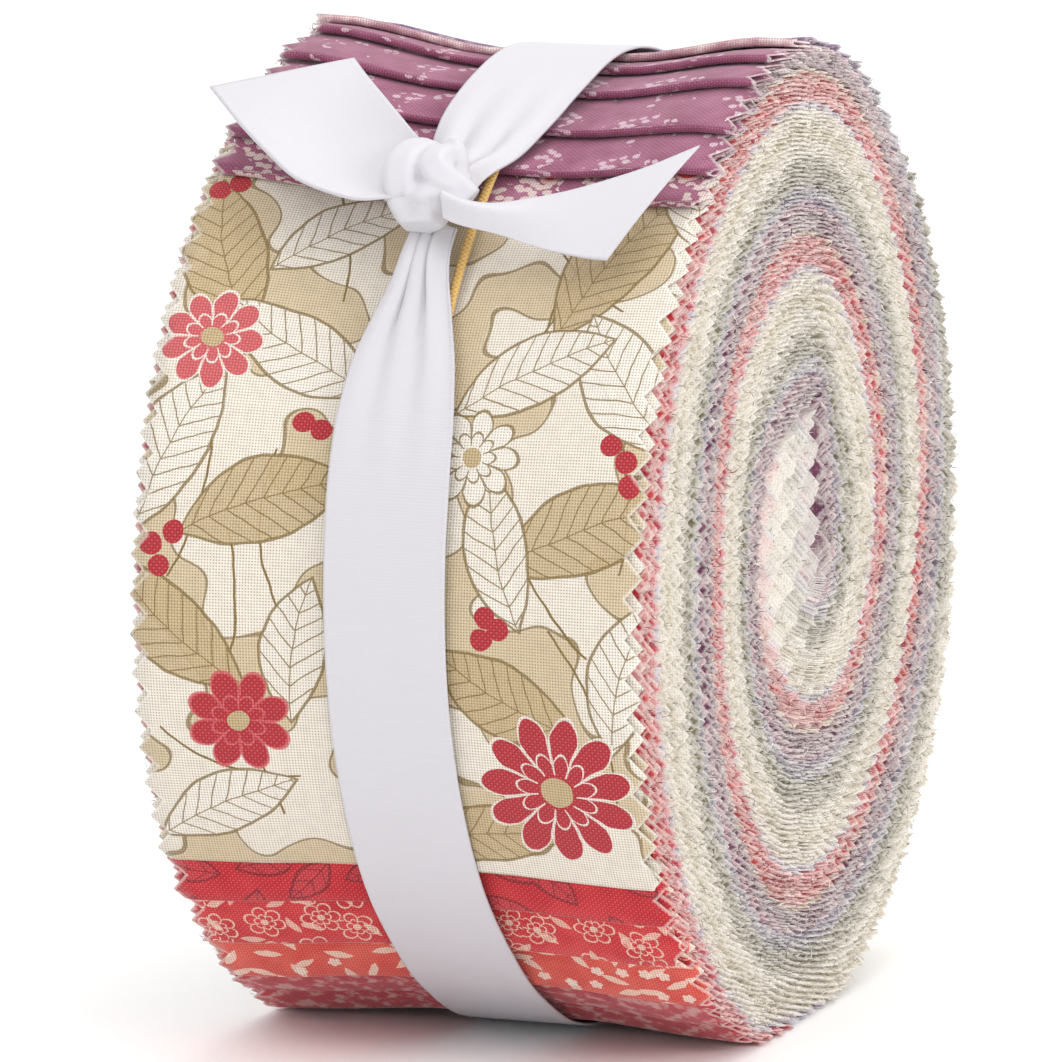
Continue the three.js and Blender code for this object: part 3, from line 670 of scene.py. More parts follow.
def lint(name, side, total):
    """The frayed fibres that stand on the cut edges at one end of the roll, each of
    three small triangles."""
    points, tints = [], []
    each = total // (2 * STRIP_COUNT)
    for strip in range(STRIP_COUNT):
        for outer in (False, True):
            count = each // 3 if strip == 0 and outer else each
            place, at, normal, reach, depth = lint_places(strip, outer, count)
            x = side * (reach - rng.uniform(0.0, LINT_ROOT, count)) + EDGE_OFFSET[strip]
            place = place + normal * rng.normal(0, LINT_SCATTER, (count, 1))
            root = np.concatenate([x[:, None], place], 1)
            tangent = np.stack([np.zeros(count), -normal[:, 1], normal[:, 0]], -1)
            outward = np.concatenate([np.zeros((count, 1)), normal], 1)
            lean = np.abs(rng.normal(0, LINT_TILT, count)).clip(0, LINT_TILT_MAX)
            lean = np.radians(lean)[:, None]
            round_it = rng.uniform(0, 2 * np.pi, count)[:, None]
            sideways = tangent * np.cos(round_it) + outward * np.sin(round_it)
            direction = np.array([side, 0, 0]) * np.cos(lean) + sideways * np.sin(lean)
            size = rng.uniform(*LINT_LENGTH, count)[:, None] ** 1.3
            grown = smooth_step(0.0, LINT_SHORT_TO, depth)[:, None]
            size = size * (LINT_SHORT + (1 - LINT_SHORT) * grown)
            curl = rng.normal(0, LINT_CURL, (count, 3))
            width = rng.uniform(*LINT_WIDTH, count)[:, None] / 2
            across = np.cross(direction, rng.normal(0, 1, (count, 3)))
            across /= np.maximum(np.linalg.norm(across, axis=1), 1e-9)[:, None]
            middle = root + direction * size * LINT_BEND
            tip = middle + (direction + curl) * size * (1 - LINT_BEND)
            points.append(np.stack([
                root - across * width, root + across * width,
                middle - across * width * 0.8, middle + across * width * 0.8, tip,
            ], 1))
            white = rng.uniform(*LINT_WHITE, count)[:, None]
            deep = LINT_DEEP_RED if strip < RED_STRIPS else LINT_DEEP
            dyed = rng.uniform(0, 1, (count, 1)) < deep
            white = np.where(dyed, LINT_DYED_WHITE, white)
            # Painted shade: the dyed fibres are darkened at random, as dark specks between the fibres.
            shade = rng.uniform(*LINT_DYED_SHADE, (count, 1))
            colour = edge_tint(strip, at) * np.where(dyed, shade, 1)
            colour = colour + (EDGE_WHITE - colour) * white
            tints.append(np.repeat(colour[:, None], 5, 1))
    points = np.concatenate(points).reshape(-1, 3)
    points[:, 2] = np.maximum(points[:, 2], -AXIS_HEIGHT)
    tints = np.concatenate(tints).reshape(-1, 3)
    first = np.arange(len(points) // 5)[:, None] * 5
    faces = np.concatenate([first + corners for corners in FIBRE_CORNERS])
    return new_object(name, points, faces, None, tints)


def sheet_slab(grid, thickness, closed=False):
    """A sheet of even thickness from its middle surface, a grid of places (rows, columns,
    xyz). closed joins the last row to the first. Returns points and faces."""
    rows, columns = grid.shape[:2]
    if closed:
        along = np.roll(grid, -1, 0) - np.roll(grid, 1, 0)
    else:
        along = np.gradient(grid, axis=0)
    normal = np.cross(np.gradient(grid, axis=1), along)
    normal /= np.maximum(np.linalg.norm(normal, axis=2), 1e-9)[..., None]
    points = np.stack([grid + normal * thickness / 2, grid - normal * thickness / 2], 0)
    index = np.arange(2 * rows * columns).reshape(2, rows, columns)
    if closed:
        index = np.concatenate([index, index[:, :1]], 1)
    front, back = index
    faces = [
        quads(front[:-1, :-1], front[:-1, 1:], front[1:, 1:], front[1:, :-1]),
        quads(back[:-1, :-1], back[1:, :-1], back[1:, 1:], back[:-1, 1:]),
        quads(front[:-1, 0], front[1:, 0], back[1:, 0], back[:-1, 0]),
        quads(front[:-1, -1], back[:-1, -1], back[1:, -1], front[1:, -1]),
    ]
    if not closed:
        faces.append(quads(front[0, :-1], back[0, :-1], back[0, 1:], front[0, 1:]))
        faces.append(quads(front[-1, :-1], front[-1, 1:], back[-1, 1:], back[-1, :-1]))
    return points.reshape(-1, 3), np.concatenate(faces)


def sheet_object(name, grid, thickness, width, closed=False):
    """A ribbon-like sheet with a cloth map: across in 0 to width, along in millimetres."""
    points, faces = sheet_slab(grid, thickness, closed)
    rows, columns = grid.shape[:2]
    along = length_along(grid.mean(1))
    uv = np.empty((2, rows, columns, 2))
    uv[..., 0] = np.linspace(0, width, columns)
    uv[..., 1] = along[None, :, None]
    return new_object(name, points, faces, uv.reshape(-1, 2)), float(along[-1])


KNOT_ANGLE = 312.3
RIBBON_WIDTH = 15.0
RIBBON_THICKNESS = 0.3
RIBBON_COLUMNS = 49
# Middle of the ribbon across the roll, every 45 degrees
RIBBON_X = [-0.2, 0.8, 1.6, 1.6, 1.4, 1.9, 2.4, -0.5]
# The band's rows, in degrees past the knot: from, to and how many
BAND_ROWS = [(2, 40, 40), (41, 315, 150), (316, 358, 46)]
BAND_LIFT = 0.35  # how far the band's middle lies over the roll's surface
PLEAT_MOST = 2.0
PLEAT_TURNS = 1.5
PLEAT_RISE = 0.9  # how far the band rises where it comes to the knot
PLEAT_RISE_FADE = (5, 12)  # degrees from the knot
# Half width of the ribbon by the degrees from its knot: above the knot and below it
GATHER_ABOVE = [(4.0, 2.3), (6.5, 2.8), (9.0, 4.2), (12.5, 5.8), (19.0, 7.1), (27.0, 7.5)]
GATHER_BELOW = [(4.0, 2.2), (8.0, 2.6), (13.0, 4.3), (19.0, 6.2), (26.0, 7.2), (34.0, 7.5)]


def surface_radius(angle):
    """The roll's outer surface under the ribbon, smoothed over the folds."""
    fine = np.arange(0, 360, 0.5)
    crest = crest_radius(FULL_STACK_TO + np.mod(fine - FULL_STACK_TO, 360))
    reach = range(-8, 9)
    highest = np.max([np.roll(crest, shift) for shift in reach], axis=0)
    crest = np.mean([np.roll(highest, shift) for shift in reach], axis=0)
    return np.interp(np.mod(angle, 360), np.append(fine, 360), np.append(crest, crest[0]))


def ribbon_radius(angle):
    """The middle of the ribbon's thickness round the roll."""
    radius = surface_radius(angle) - waist_depth(angle) + BAND_LIFT
    return np.minimum(radius, floor_radius(angle) - RIBBON_THICKNESS / 2)


def ribbon_band():
    """The ribbon once round the roll, gathered in pleats where it meets its knot."""
    angle = np.concatenate([np.linspace(*rows) for rows in BAND_ROWS]) + KNOT_ANGLE
    from_knot = np.minimum(angle - KNOT_ANGLE, KNOT_ANGLE + 360 - angle)
    below = angle < KNOT_ANGLE + 180
    half_below = np.interp(from_knot, *np.transpose(GATHER_BELOW))
    half_above = np.interp(from_knot, *np.transpose(GATHER_ABOVE))
    half = np.where(below, half_below, half_above)
    half = np.convolve(np.pad(half, 2, mode="edge"), np.ones(5) / 5, "valid")
    centre = smooth(RIBBON_X, 0, TABLE_STEP, np.mod(angle, 360), closed=True)
    across = np.linspace(-1, 1, RIBBON_COLUMNS)
    radius = ribbon_radius(angle)
    pleat = np.clip((RIBBON_WIDTH / 2 / half - 1), 0, PLEAT_MOST)[:, None]
    turns = PLEAT_TURNS * across[None, :] + 0.12 * below[:, None] + 0.1
    lift = np.sqrt(pleat) * (0.5 + 0.5 * np.cos(2 * np.pi * turns))
    lift += 0.25 * pleat * (1 + np.sin(9 * across[None, :] + 1.0))
    tilt = 0.10 * np.sin(np.radians(angle * 7))[:, None]
    lift += tilt * across[None, :] * (1 - np.clip(pleat, 0, 1))
    rise = PLEAT_RISE * (1 - smooth_step(*PLEAT_RISE_FADE, from_knot))
    lift += rise[:, None]
    drawn = across[None, :] + 0.12 * pleat * np.sin(2.6 * np.pi * across)
    x = centre[:, None] + half[:, None] * drawn
    place = around(angle[:, None] + 0 * x, radius[:, None] + np.maximum(lift, 0) + 0 * x)
    place[..., 1] = np.maximum(place[..., 1], -AXIS_HEIGHT + RIBBON_THICKNESS / 2)
    grid = np.concatenate([x[..., None], place], -1)
    return sheet_object("satin_band", grid, RIBBON_THICKNESS, RIBBON_WIDTH)


# The ribbon's free ends: rows from the knot outward, each the upper edge's place across
# the roll and winding angle, the lower edge's, and the radius
TAIL_LEFT = [
    (-2.6, 306.8, -2.6, 314.4, 63.2),
    (-4.2, 305.4, -5.2, 314.9, 63.8),
    (-6.6, 303.1, -9.5, 315.1, 64.2),
    (-10.3, 299.5, -16.5, 313.0, 64.4),
    (-13.4, 296.5, -21.4, 309.7, 64.6),
    (-15.2, 294.7, -26.7, 305.4, 64.8),
    (-16.5, 293.4, -32.2, 300.2, 65.0),
]
TAIL_RIGHT = [
    (2.2, 313.2, 2.2, 316.2, 63.4),
    (5.8, 314.0, 4.8, 316.8, 63.5),
    (9.4, 313.7, 9.2, 317.3, 63.5),
    (15.4, 311.9, 14.0, 318.3, 63.4),
    (20.6, 309.8, 17.6, 318.9, 63.4),
    (25.4, 307.5, 20.5, 319.2, 63.4),
    (30.4, 304.3, 22.8, 319.3, 63.5),
]
TAIL_ROWS = 44
TAIL_COLUMNS = 33


def tail(name, rows, bend):
    """One free end of the ribbon. bend gives its lift by share along and across."""
    rows = np.array(rows)
    share = np.linspace(0, 1, TAIL_ROWS)
    columns = [smooth(column, 0, 1, share * (len(rows) - 1))[:, None] for column in rows.T]
    upper_x, upper_angle, lower_x, lower_angle, radius = columns
    across = np.linspace(0, 1, TAIL_COLUMNS)[None, :]
    x = upper_x + (lower_x - upper_x) * across
    angle = upper_angle + (lower_angle - upper_angle) * across
    lift = bend(share[:, None], across)
    place = around(angle, radius + lift)
    grid = np.concatenate([x[..., None], place], -1)
    return sheet_object(name, grid, RIBBON_THICKNESS, RIBBON_WIDTH)


def bend_left(share, across):
    """A shallow hollow along the ribbon, pleats at the knot, and a lifted lower edge."""
    near = np.exp(-share / 0.16)
    pleats = 0.9 * near * np.cos(2 * np.pi * (1.6 * across + 0.1))
    hollow = -1.3 * np.sin(np.pi * across) * np.sin(np.pi * np.clip(share * 1.1, 0, 1))
    roll_over = 1.4 * np.exp(-share / 0.45) * smooth_step(0.55, 1.0, across)
    return pleats + hollow + roll_over + 1.2 * near + 0.5 * share


def bend_right(share, across):
    """A ridge along the middle that fades outward, and pleats at the knot."""
    near = np.exp(-share / 0.14)
    pleats = 0.6 * near * np.cos(2 * np.pi * (1.4 * across + 0.35))
    ridge = 1.7 * (1 - smooth_step(0.0, 0.75, share)) * (1 - np.abs(2 * across - 0.9) ** 1.6)
    sag = -1.4 * across * smooth_step(0.1, 0.6, share)
    twist = 0.7 * (0.5 - across) * smooth_step(0.5, 1.0, share)
    return pleats + ridge + sag + twist + 0.8 * near


KNOT_PLACE = (-0.7, KNOT_ANGLE - 1.6, 62.6)  # across the roll, winding angle, radius
# The knot's folded wraps: points (across, along, outward) from its middle, each with the
# wrap's half width and half height, in millimetres
KNOT_WRAPS = [
    [(-0.8, -5.2, -0.8, 2.6, 1.6), (-0.8, -2.6, -0.4, 4.2, 2.6), (-0.6, 0.4, -0.2, 4.8, 3.0),
     (-0.4, 3.4, -0.4, 3.9, 2.5), (-0.2, 6.0, -1.0, 2.4, 1.7)],
    [(-1.9, -5.6, -0.6, 2.2, 1.5), (-3.0, -3.2, 1.2, 2.6, 1.9), (-3.3, 0.0, 1.9, 2.7, 2.0),
     (-2.6, 3.2, 1.2, 2.3, 1.8), (-1.4, 5.2, -0.6, 1.7, 1.3)],
    [(1.6, -4.6, -0.4, 1.5, 1.2), (0.7, -2.6, 1.8, 2.0, 1.6), (0.6, -0.4, 2.6, 2.1, 1.7),
     (1.8, 1.2, 2.3, 2.1, 1.6), (3.6, 1.6, 1.2, 1.9, 1.5), (5.3, 2.4, 0.2, 1.6, 1.2)],
    [(-1.4, 2.6, 1.0, 1.6, 1.3), (0.4, 3.6, 1.7, 1.7, 1.4), (2.4, 3.4, 1.4, 1.6, 1.3),
     (4.4, 3.4, 0.4, 1.5, 1.2)],
    [(0.4, -5.8, 0.2, 1.1, 0.9), (1.5, -4.7, 1.3, 1.15, 1.0), (2.5, -3.3, 0.8, 1.0, 0.9),
     (2.9, -1.8, 0.2, 0.9, 0.8)],
    [(-0.6, 5.0, 0.2, 1.0, 0.9), (0.2, 4.9, 0.9, 1.1, 1.0), (1.3, 4.7, 0.6, 1.0, 0.9)],
    [(-5.6, -2.2, 0.4, 1.6, 1.3), (-3.8, -1.2, 1.0, 2.0, 1.6), (-2.0, 0.0, 0.8, 2.0, 1.6)],
    [(-5.4, 1.4, 0.2, 1.5, 1.2), (-3.6, 1.8, 0.7, 1.8, 1.5), (-2.0, 1.6, 0.6, 1.8, 1.5)],
]
KNOT_VOXEL = 0.24
KNOT_SIDES = 20
KNOT_RINGS = 8  # between two points of a wrap
KNOT_GROOVES = (5, 0.07, 0.7)  # how many round a wrap, how deep as a share, where they start
KNOT_SOFTENING = (0.5, 7)  # strength and passes


def knot_tube(points):
    """One wrap of the knot as a closed tube of flattened, pleated section."""
    points = np.array(points)
    count = (len(points) - 1) * KNOT_RINGS + 1
    where = np.linspace(0, len(points) - 1, count)
    line = np.stack([smooth(points[:, c], 0, 1, where) for c in range(5)], -1)
    forward = np.gradient(line[:, :3], axis=0)
    forward /= np.linalg.norm(forward, axis=1)[:, None]
    side = np.cross(forward, [0, 0, 1.0])
    side /= np.linalg.norm(side, axis=1)[:, None]
    over = np.cross(side, forward)
    turn = np.arange(KNOT_SIDES) * 2 * np.pi / KNOT_SIDES
    number, deep, start = KNOT_GROOVES
    grooves = 1 + deep * np.cos(number * turn + start)
    ring = (
        line[:, None, :3]
        + side[:, None] * (line[:, 3, None] * np.cos(turn) * grooves)[..., None]
        + over[:, None] * (line[:, 4, None] * np.sin(turn) * grooves)[..., None]
    )
    index = np.arange(count * KNOT_SIDES).reshape(count, KNOT_SIDES)
    beside = np.roll(index, -1, 1)
    faces = quads(index[:-1], index[1:], beside[1:], beside[:-1]).tolist()
    return ring.reshape(-1, 3), faces + [index[0].tolist(), index[-1][::-1].tolist()]


def knot_object():
    """The knot: its wraps joined into one smooth form."""
    points, faces = [], []
    first = 0
    for wrap in KNOT_WRAPS:
        part_points, part_faces = knot_tube(wrap)
        faces += [[corner + first for corner in face] for face in part_faces]
        points.append(part_points)
        first += len(part_points)
    local = np.concatenate(points)
    x, angle, radius = KNOT_PLACE
    turned = math.radians(angle)
    outward = np.array([0, -math.cos(turned), -math.sin(turned)])
    along = np.array([0, math.sin(turned), -math.cos(turned)])
    origin = outward * radius + np.array([x, 0, 0])
    placed = origin + local[:, :1] * [1, 0, 0] + local[:, 1:2] * along + local[:, 2:] * outward
    placed += [0, -AXIS_FORWARD, AXIS_HEIGHT]
    mesh = bpy.data.meshes.new("satin_knot")
    mesh.from_pydata((placed * MM).tolist(), [], faces)
    made = bpy.data.objects.new("satin_knot", mesh)
    bpy.context.scene.collection.objects.link(made)
    remesh = made.modifiers.new("join", "REMESH")
    remesh.mode = "VOXEL"
    remesh.voxel_size = KNOT_VOXEL * MM
    remesh.use_smooth_shade = True
    soften = made.modifiers.new("soften", "SMOOTH")
    soften.factor, soften.iterations = KNOT_SOFTENING
    graph = bpy.context.evaluated_depsgraph_get()
    shaped = bpy.data.meshes.new_from_object(made.evaluated_get(graph))
    made.modifiers.clear()
    made.data = shaped
    made.data.name = "satin_knot"
    return made


ELASTIC_X = 3.4
ELASTIC_WIDTH = 1.0
ELASTIC_THICKNESS = 0.5
ELASTIC_LIFT = 0.05
ELASTIC_CROWN = 0.12


def elastic_band():
    """The elastic round the roll, under the ribbon."""
    angle = np.arange(0, 360, 2.0)[::-1]
    radius = surface_radius(angle) - waist_depth(angle) + ELASTIC_LIFT
    radius = np.minimum(radius, floor_radius(angle) - ELASTIC_THICKNESS / 2)
    across = np.linspace(-0.5, 0.5, 5)
    x = ELASTIC_X + ELASTIC_WIDTH * across[None, :] + 0 * radius[:, None]
    crown = ELASTIC_CROWN * (1 - (2 * across) ** 2)
    place = around(angle[:, None] + 0 * x, radius[:, None] + crown[None, :])
    grid = np.concatenate([x[..., None], place], -1)
    grid = grid[:, ::-1]
    return sheet_object("elastic_cord", grid, ELASTIC_THICKNESS, ELASTIC_WIDTH, closed=True)


class Signal:
    """A shader value that ordinary arithmetic can be written with."""

    def __init__(self, tree, socket):
        self.tree = tree
        self.socket = socket

    def put(self, operation, *others):
        node = self.tree.nodes.new("ShaderNodeMath")
        node.operation = operation
        self.tree.links.new(self.socket, node.inputs[0])
        for place, other in enumerate(others, 1):
            if isinstance(other, Signal):
                self.tree.links.new(other.socket, node.inputs[place])
            else:
                node.inputs[place].default_value = other
        return Signal(self.tree, node.outputs[0])

    def __add__(self, other):
        return self.put("ADD", other)

    __radd__ = __add__

    def __sub__(self, other):
        return self.put("SUBTRACT", other)

    def __rsub__(self, other):
        return self.put("MULTIPLY", -1.0) + other

    def __mul__(self, other):
        return self.put("MULTIPLY", other)

    def __truediv__(self, other):
        return self.put("DIVIDE", other)

    def __abs__(self):
        return self.put("ABSOLUTE")

    def __pow__(self, other):
        return self.put("POWER", other)

    def below(self, limit):
        """1 where the value is under a limit, else 0."""
        return self.put("LESS_THAN", limit)

    def above(self, limit):
        return self.put("GREATER_THAN", limit)

    def both(self, other):
        return self.put("MINIMUM", other)

    def either(self, other):
        return self.put("MAXIMUM", other)

    def wave(self, turns):
        """A sine that goes round a number of times in each unit."""
        return (self * (2 * math.pi * turns)).put("SINE")

    def ramp(self, low, high):
        """0 under low and 1 over high, even between."""
        return ((self - low) * (1 / (high - low))).put("MAXIMUM", 0.0).put("MINIMUM", 1.0)


def shader_node(tree, kind, values=None, links=None):
    """A node with some of its inputs set or joined."""
    node = tree.nodes.new(kind)
    for name, value in (values or {}).items():
        if name in node.inputs:
            node.inputs[name].default_value = value
        else:
            setattr(node, name, value)
    for name, socket in (links or {}).items():
        tree.links.new(socket, node.inputs[name])
    return node


def new_material(name):
    """A material, its node tree and its shader."""
    material = bpy.data.materials.new(name)
    material.use_nodes = True
    tree = material.node_tree
    return material, tree, tree.nodes["Principled BSDF"]


def cloth_map(tree):
    """The place on the cloth, in millimetres across and along."""
    return shader_node(tree, "ShaderNodeUVMap", {"uv_map": "cloth"}).outputs[0]


def attribute(tree, name, output):
    return shader_node(tree, "ShaderNodeAttribute", {"attribute_name": name}).outputs[output]


BUMP_DISTANCE = 0.0001  # metres


def raise_surface(tree, shader, height, strength):
    """Fine relief on the shader's surface."""
    values = {"Strength": strength, "Distance": BUMP_DISTANCE}
    bump = shader_node(tree, "ShaderNodeBump", values, {"Height": height.socket})
    tree.links.new(bump.outputs[0], shader.inputs["Normal"])


def split(tree, vector):
    """The first two parts of a vector as signals."""
    node = shader_node(tree, "ShaderNodeSeparateXYZ", links={"Vector": vector})
    return Signal(tree, node.outputs[0]), Signal(tree, node.outputs[1])


def moved(tree, vector, place):
    """A vector measured from a place, which is a pair of numbers or a socket."""
    node = shader_node(tree, "ShaderNodeVectorMath", {"operation": "SUBTRACT"}, {0: vector})
    if isinstance(place, tuple):
        node.inputs[1].default_value = (*place, 0)
    else:
        tree.links.new(place, node.inputs[1])
    return node.outputs[0]


def spun(tree, vector, angle):
    """A vector turned in its plane, by degrees or by a shader value in radians."""
    node = shader_node(tree, "ShaderNodeVectorRotate", {"rotation_type": "Z_AXIS"}, {"Vector": vector})
    if isinstance(angle, Signal):
        tree.links.new(angle.socket, node.inputs["Angle"])
    else:
        node.inputs["Angle"].default_value = math.radians(angle)
    return node.outputs[0]


def noise(tree, vector, size, detail=2.0, roughness=0.5):
    """Cloudy noise with clouds of a given size."""
    node = shader_node(
        tree,
        "ShaderNodeTexNoise",
        {"Scale": 1 / size, "Detail": detail, "Roughness": roughness},
        {"Vector": vector},
    )
    return Signal(tree, node.outputs["Fac"])


def wobbled(tree, vector, size, amount):
    """A vector shifted by noise, so that a print's outline isn't ruled."""
    values = {"Scale": 1 / size, "Detail": 2.0}
    colour = shader_node(tree, "ShaderNodeTexNoise", values, {"Vector": vector}).outputs["Color"]

    def vector_math(operation, links, values=()):
        values = {"operation": operation, **dict(values)}
        return shader_node(tree, "ShaderNodeVectorMath", values, links)

    centred = vector_math("SUBTRACT", {0: colour})
    centred.inputs[1].default_value = (0.5, 0.5, 0.5)
    scaled = vector_math("SCALE", {0: centred.outputs[0]}, {"Scale": amount})
    return vector_math("ADD", {0: vector, 1: scaled.outputs[0]}).outputs[0]


def mix(tree, share, first, second):
    """Two colours mixed by a shader value. A colour is a socket or a linear triple."""
    node = tree.nodes.new("ShaderNodeMix")
    node.data_type = "RGBA"
    factor, colour_a, colour_b = node.inputs[0], node.inputs[6], node.inputs[7]
    if isinstance(share, Signal):
        tree.links.new(share.socket, factor)
    else:
        factor.default_value = share
    for socket, colour in ((colour_a, first), (colour_b, second)):
        if isinstance(colour, (tuple, list, np.ndarray)):
            socket.default_value = (*[float(c) for c in colour], 1)
        else:
            tree.links.new(colour, socket)
    return node.outputs[2]


def multiplied(tree, colour, by):
    """A colour darkened by another."""
    node = shader_node(tree, "ShaderNodeMix", {"data_type": "RGBA", "blend_type": "MULTIPLY"})
    node.inputs[0].default_value = 1.0
    tree.links.new(colour, node.inputs[6])
    node.inputs[7].default_value = (*by, 1)
    return node.outputs[2]


def cells(tree, vector, size, scatter=0.7):
    """Scattered motif places: the vector from the nearest place, turned at random, and
    a random value for it."""
    node = shader_node(
        tree,
        "ShaderNodeTexVoronoi",
        {"voronoi_dimensions": "2D", "Scale": 1 / size, "Randomness": scatter},
        {"Vector": vector},
    )
    local = moved(tree, vector, node.outputs["Position"])
    turn, pick = split(tree, node.outputs["Color"])
    return spun(tree, local, turn * (2 * math.pi)), pick


def leaf(tree, vector, length, width, line=0.28, veins=True):
    """Inside and outline of a leaf that lies along the first axis, sizes in millimetres."""
    x, y = split(tree, vector)
    along = x * (2 / length)
    bend = y + along * along * (0.12 * width)
    side = abs(bend) * (2 / width)
    shape = (1.0 - along * along) - side
    inside = shape.above(0.0)
    outline = abs(shape).below(2 * line / width)
    midrib = abs(bend).below(line * 0.4).both(inside)
    drawn = outline.either(midrib)
    if veins:
        vein = abs((x - abs(bend) * 0.9).wave(0.22)).below(0.16)
        drawn = drawn.either(vein.both(inside))
    return inside, drawn


def blossom(tree, vector, size, petals, line=0.3):
    """Inside, outline and middle of a blossom, its size in millimetres across."""
    x, y = split(tree, vector)
    away = (x * x + y * y).put("SQRT") * (2 / size)
    turn = y.put("ARCTAN2", x)
    lobe = abs((turn * (petals / 2)).put("COSINE")) ** 0.7
    edge = lobe * 0.36 + 0.62
    inside = away.below(edge)
    rim = abs(away - edge).below(2 * line / size)
    spoke = abs((turn * (petals / 2)).put("COSINE")).below(0.2).both(inside)
    inner = abs(away - edge * 0.52).below(1.4 * line / size)
    middle = away.below(0.2)
    drawn = rim.either(spoke.both(away.above(0.24))).either(inner)
    return inside, drawn, middle


def berries(tree, vector, places, radius):
    """Round berries at given places."""
    found = None
    for place in places:
        x, y = split(tree, moved(tree, vector, place))
        berry = (x * x + y * y).below(radius * radius)
        found = berry if found is None else found.either(berry)
    return found


def curve_line(tree, vector, start, sag, length, turn, width=0.3):
    """A bowed stem from a place, drawn as a thin line."""
    local = spun(tree, moved(tree, vector, start), -turn)
    x, y = split(tree, local)
    part = x / length
    bowed = y - part * (1.0 - part) * (4 * sag)
    return abs(bowed).below(width / 2).both(x.above(0.0)).both(x.below(length))


# Threads of the cloth: their pitch, the colour of the painted shade in the gaps between them and of the
# painted highlight on them
WEAVE_PITCH = 0.36
WEAVE_SHADE = (0.30, 0.27, 0.25)
WEAVE_HIGHLIGHT = (0.95, 0.93, 0.9)

# The prints' colours
CREAM = linear("e6dfd4")
TAN = linear("cbb99a")
TAN_DEEP = linear("bda780")
OLIVE = linear("846d3c")
BERRY = linear("b02f38")
ROSE = linear("c95f62")
PLUM = linear("8b4363")
PLUM_LIGHT = linear("a4607e")
PLUM_PALE = linear("dcc3cc")
PLUM_LEAF = linear("e0d3bb")
PLUM_LEAF_LINE = linear("b49a86")
PLUM_SPRIG = linear("e6d8cc")
MAUVE = linear("c4949f")
MAUVE_PALE = linear("ecd6d4")
MAUVE_DEEP = linear("a56a80")
BLOSSOM_CORAL = linear("d8403f")
BLOSSOM_LINE = linear("ecc3b8")
BLOSSOM_MIDDLE = linear("f0e2d2")
RED_DEEP = (linear("bf1f2c"), linear("cb2f36"))
RED_LEAF = linear("c24a50")
RED_LINE = linear("6f1420")
RED_BRIGHT = (linear("c7232c"), linear("d33a3d"))
LACE = linear("ecd3bf")
LACE_LEAF = linear("efd2bd")
CORAL = (linear("d8483c"), linear("e25e4f"))
CORAL_SPRIG = linear("f3dcc8")
CORAL_BUD = linear("f6e6d6")


def cloth_material(name, paint, weave=1.0, **box):
    """Printed cotton. paint makes the print's colour from the cloth's place, weave is how strongly the
    threads show in painted shade and painted highlight, and box the part of the cloth that paint covers."""
    material, tree, shader = new_material(name)
    uv = cloth_map(tree)
    colour = paint(tree, uv, **box)
    x, y = split(tree, uv)
    across = x.wave(0.5 / WEAVE_PITCH)
    along = y.wave(0.5 / WEAVE_PITCH)
    gap = (1.0 - abs(across)) * (1.0 - abs(along))
    slub = noise(tree, uv, 1.3, 1.0)
    # Painted shade darkens the gaps between the threads, and a painted highlight lightens the threads where
    # they cross on top.
    under = ((gap * 1.8) + (0.5 - slub) * 0.35).ramp(0.0, 1.0)
    woven = mix(tree, under * (0.85 * weave), colour, multiplied(tree, colour, WEAVE_SHADE))
    lit = (across * along).ramp(0.2, 1.0) * (0.07 * weave)
    highlighted = mix(tree, lit, woven, WEAVE_HIGHLIGHT)
    from_edge = Signal(tree, attribute(tree, "edge", "Fac"))
    fray = noise(tree, uv, 0.5, 0.0)
    frayed = (1.0 - (from_edge - fray * 0.5).ramp(-0.1, 0.3)) * 0.4
    tree.links.new(mix(tree, frayed, highlighted, EDGE_WHITE), shader.inputs["Base Color"])
    tree.links.new((0.78 + slub * 0.2).socket, shader.inputs["Roughness"])
    shader.inputs["Specular IOR Level"].default_value = 0.2
    shader.inputs["Sheen Weight"].default_value = 0.25
    shader.inputs["Sheen Roughness"].default_value = 0.5
    raise_surface(tree, shader, (across * along) * 0.35 - gap * 0.6, 0.5)
    return material


def paint_tinted(tree, uv):
    """The strip's own colour, mottled as by a small print."""
    tint = attribute(tree, "tint", "Color")
    cloud = noise(tree, uv, 2.2, 2.0, 0.6)
    pale = mix(tree, 0.4, tint, CREAM)
    colour = mix(tree, cloud.ramp(0.5, 0.62), tint, pale)
    darker = multiplied(tree, tint, (0.6, 0.55, 0.55))
    return mix(tree, cloud.ramp(0.44, 0.36) * 0.5, colour, darker)


# The front strip's print: places across the strip and from its fold, in millimetres
FRONT_LEAVES = [
    # x, y, turn, length, width, filled
    (22, 77, 62, 26, 11, 1), (27, 59, 128, 22, 10, 0), (15, 61, 28, 21, 9, 0), (24, 42, 20, 24, 10, 1),
    (13, 39, 104, 20, 8, 0), (29, 25, 74, 20, 8, 0), (14, 21, 152, 20, 9, 1), (-13, 80, 40, 20, 8, 0),
    (-26, 74, 112, 24, 10, 1), (-14, 62, 152, 22, 9, 0), (-28, 50, 66, 22, 9, 0), (-16, 44, 18, 22, 10, 1),
    (-27, 28, 138, 22, 9, 1), (-12, 26, 80, 18, 8, 0), (-22, 6, 25, 20, 8, 0), (10, 3, 10, 20, 8, 1),
    (1, 48, 50, 18, 8, 0), (30, 86, 100, 18, 8, 0),
]
FRONT_BLOSSOMS = [
    # x, y, size, petals, turn, petal colour, inner colour
    (20, 10, 20, 11, 12, BERRY, CREAM), (-25, 63, 13, 9, 40, ROSE, CREAM),
    (-19, 17, 13, 8, 20, BERRY, ROSE), (9, 50, 12, 9, 0, CREAM, OLIVE), (-20, 92, 12, 9, 0, ROSE, CREAM),
]
